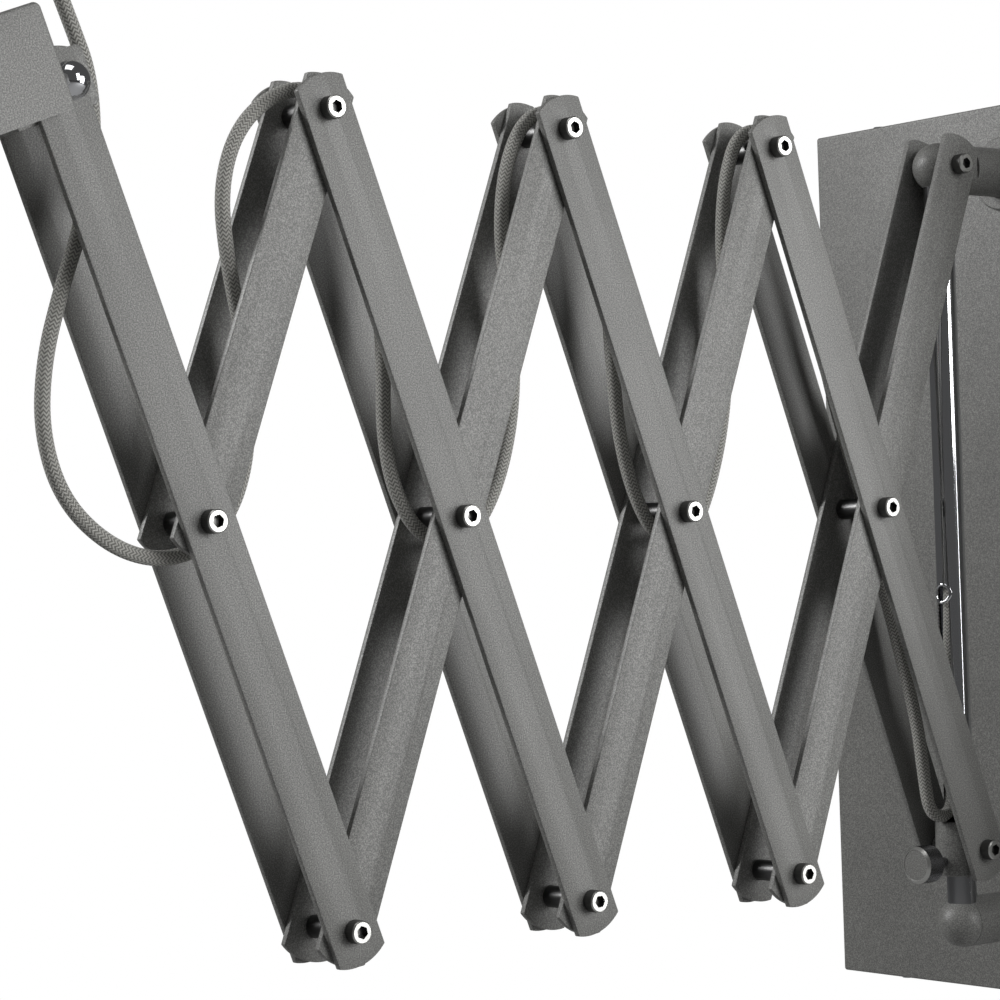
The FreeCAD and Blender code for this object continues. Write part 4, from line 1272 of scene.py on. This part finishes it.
# ------------------------------------------------------------------------------------ studio
@dataclass
class Studio:
    """Camera, lamps, floor and backdrop."""

    eye: tuple[float, float, float] = (1.0081, -1.1719, 0.0047)
    azimuth_deg: float = 51.26
    elevation_deg: float = -1.08
    roll_deg: float = -1.81
    lens_mm: float = 104.83
    floor_z: float = -0.62

    def camera(self) -> None:
        """Sets the camera at the photograph's viewing angle."""
        az, el, roll = (math.radians(v) for v in (self.azimuth_deg, self.elevation_deg, self.roll_deg))
        back = Vector((math.sin(az) * math.cos(el), -math.cos(az) * math.cos(el), math.sin(el)))
        right = Vector((math.cos(az), math.sin(az), 0.0))
        up = back.cross(right)
        r = right * math.cos(roll) + up * math.sin(roll)
        u = up * math.cos(roll) - right * math.sin(roll)
        data = bpy.data.cameras.new("camera")
        data.sensor_width = 36.0
        data.lens = self.lens_mm
        data.clip_start = 0.01
        data.clip_end = 50.0
        camera = bpy.data.objects.new("camera", data)
        bpy.context.scene.collection.objects.link(camera)
        turn = Matrix((r, u, back)).transposed().to_4x4()
        camera.matrix_world = Matrix.Translation(Vector(self.eye)) @ turn
        bpy.context.scene.camera = camera

    def lamp(self, name: str, place: tuple[float, float, float], aim: tuple[float, float, float],
             size: tuple[float, float], watts: float) -> None:
        """Adds a soft box.

        Args:
            name: The lamp's name.
            place: Where it stands, in metres.
            aim: What it points at.
            size: Its width and height.
            watts: Its power.
        """
        data = bpy.data.lights.new(name, "AREA")
        data.shape = "RECTANGLE"
        data.size, data.size_y = size
        data.energy = watts
        light = bpy.data.objects.new(name, data)
        bpy.context.scene.collection.objects.link(light)
        ahead = (Vector(aim) - Vector(place)).normalized()
        light.matrix_world = Matrix.Translation(Vector(place)) @ ahead.to_track_quat("-Z", "Y").to_matrix().to_4x4()

    def backdrop(self) -> None:
        """White floor and white world, as the camera and the metal see them."""
        Bench.clear()
        bpy.ops.mesh.primitive_plane_add(size=14.0, location=(0, 0, self.floor_z))
        floor = bpy.context.object
        floor.name = "studio_floor"
        material, tree, output = blank_material("studio_floor_paper")
        path = add_node(tree, "ShaderNodeLightPath")
        seen = add_node(tree, "ShaderNodeMath", {
            0: path.outputs["Is Camera Ray"], 1: path.outputs["Is Transmission Ray"]}, operation="MAXIMUM")
        paper = add_node(tree, "ShaderNodeBsdfDiffuse", {"Color": (0.35, 0.35, 0.35, 1.0)})
        glow = add_node(tree, "ShaderNodeEmission", {"Color": (1.0, 1.0, 1.0, 1.0), "Strength": 1.0})
        mix = add_node(tree, "ShaderNodeMixShader", {0: seen.outputs[0], 1: paper.outputs[0], 2: glow.outputs[0]})
        side = add_node(tree, "ShaderNodeNewGeometry")
        clear = add_node(tree, "ShaderNodeBsdfTransparent")
        front = add_node(tree, "ShaderNodeMixShader", {
            0: side.outputs["Backfacing"], 1: mix.outputs[0], 2: clear.outputs[0]})
        tree.links.new(front.outputs[0], output.inputs["Surface"])
        floor.data.materials.append(material)
        world = bpy.data.worlds.new("studio_world")
        bpy.context.scene.world = world
        world.use_nodes = True
        tree = world.node_tree
        tree.nodes.clear()
        output = tree.nodes.new("ShaderNodeOutputWorld")
        path = add_node(tree, "ShaderNodeLightPath")
        dim = add_node(tree, "ShaderNodeBackground", {"Color": (1.0, 1.0, 1.0, 1.0), "Strength": 0.08})
        white = add_node(tree, "ShaderNodeBackground", {"Color": (1.0, 1.0, 1.0, 1.0), "Strength": 1.0})
        mix = add_node(tree, "ShaderNodeMixShader", {
            0: path.outputs["Is Camera Ray"], 1: dim.outputs[0], 2: white.outputs[0]})
        tree.links.new(mix.outputs[0], output.inputs["Surface"])

    def build(self) -> None:
        """Sets up the studio."""
        self.camera()
        self.backdrop()
        self.lamp("side_box", (2.5, 0.25, 0.9), (0.0, -0.3, 0.05), (0.7, 1.6), 30.0)
        self.lamp("edge_box", (-1.6, -2.0, 1.3), (0.0, -0.3, 0.1), (0.9, 1.2), 62.0)
        self.lamp("glint_box", (2.1, 1.35, 0.35), (0.0, -0.25, 0.0), (1.3, 1.5), 46.0)
        self.lamp("top_box", (0.5, -0.9, 2.2), (0.0, -0.3, 0.0), (1.2, 1.2), 9.0)
        bpy.context.scene.view_settings.view_transform = "Standard"


def main() -> None:
    """Builds the lamp, hangs it on the frame and lights it."""
    logging.basicConfig(level=logging.INFO, format="%(name)s: %(message)s")
    studio = Studio()
    studio.build()
    for part in (Cord(), Arm(), WallUnit(), Slider(), Head()):
        part.build()
        log.info("%s built", type(part).__name__)


if __name__ == "__main__":
    main()
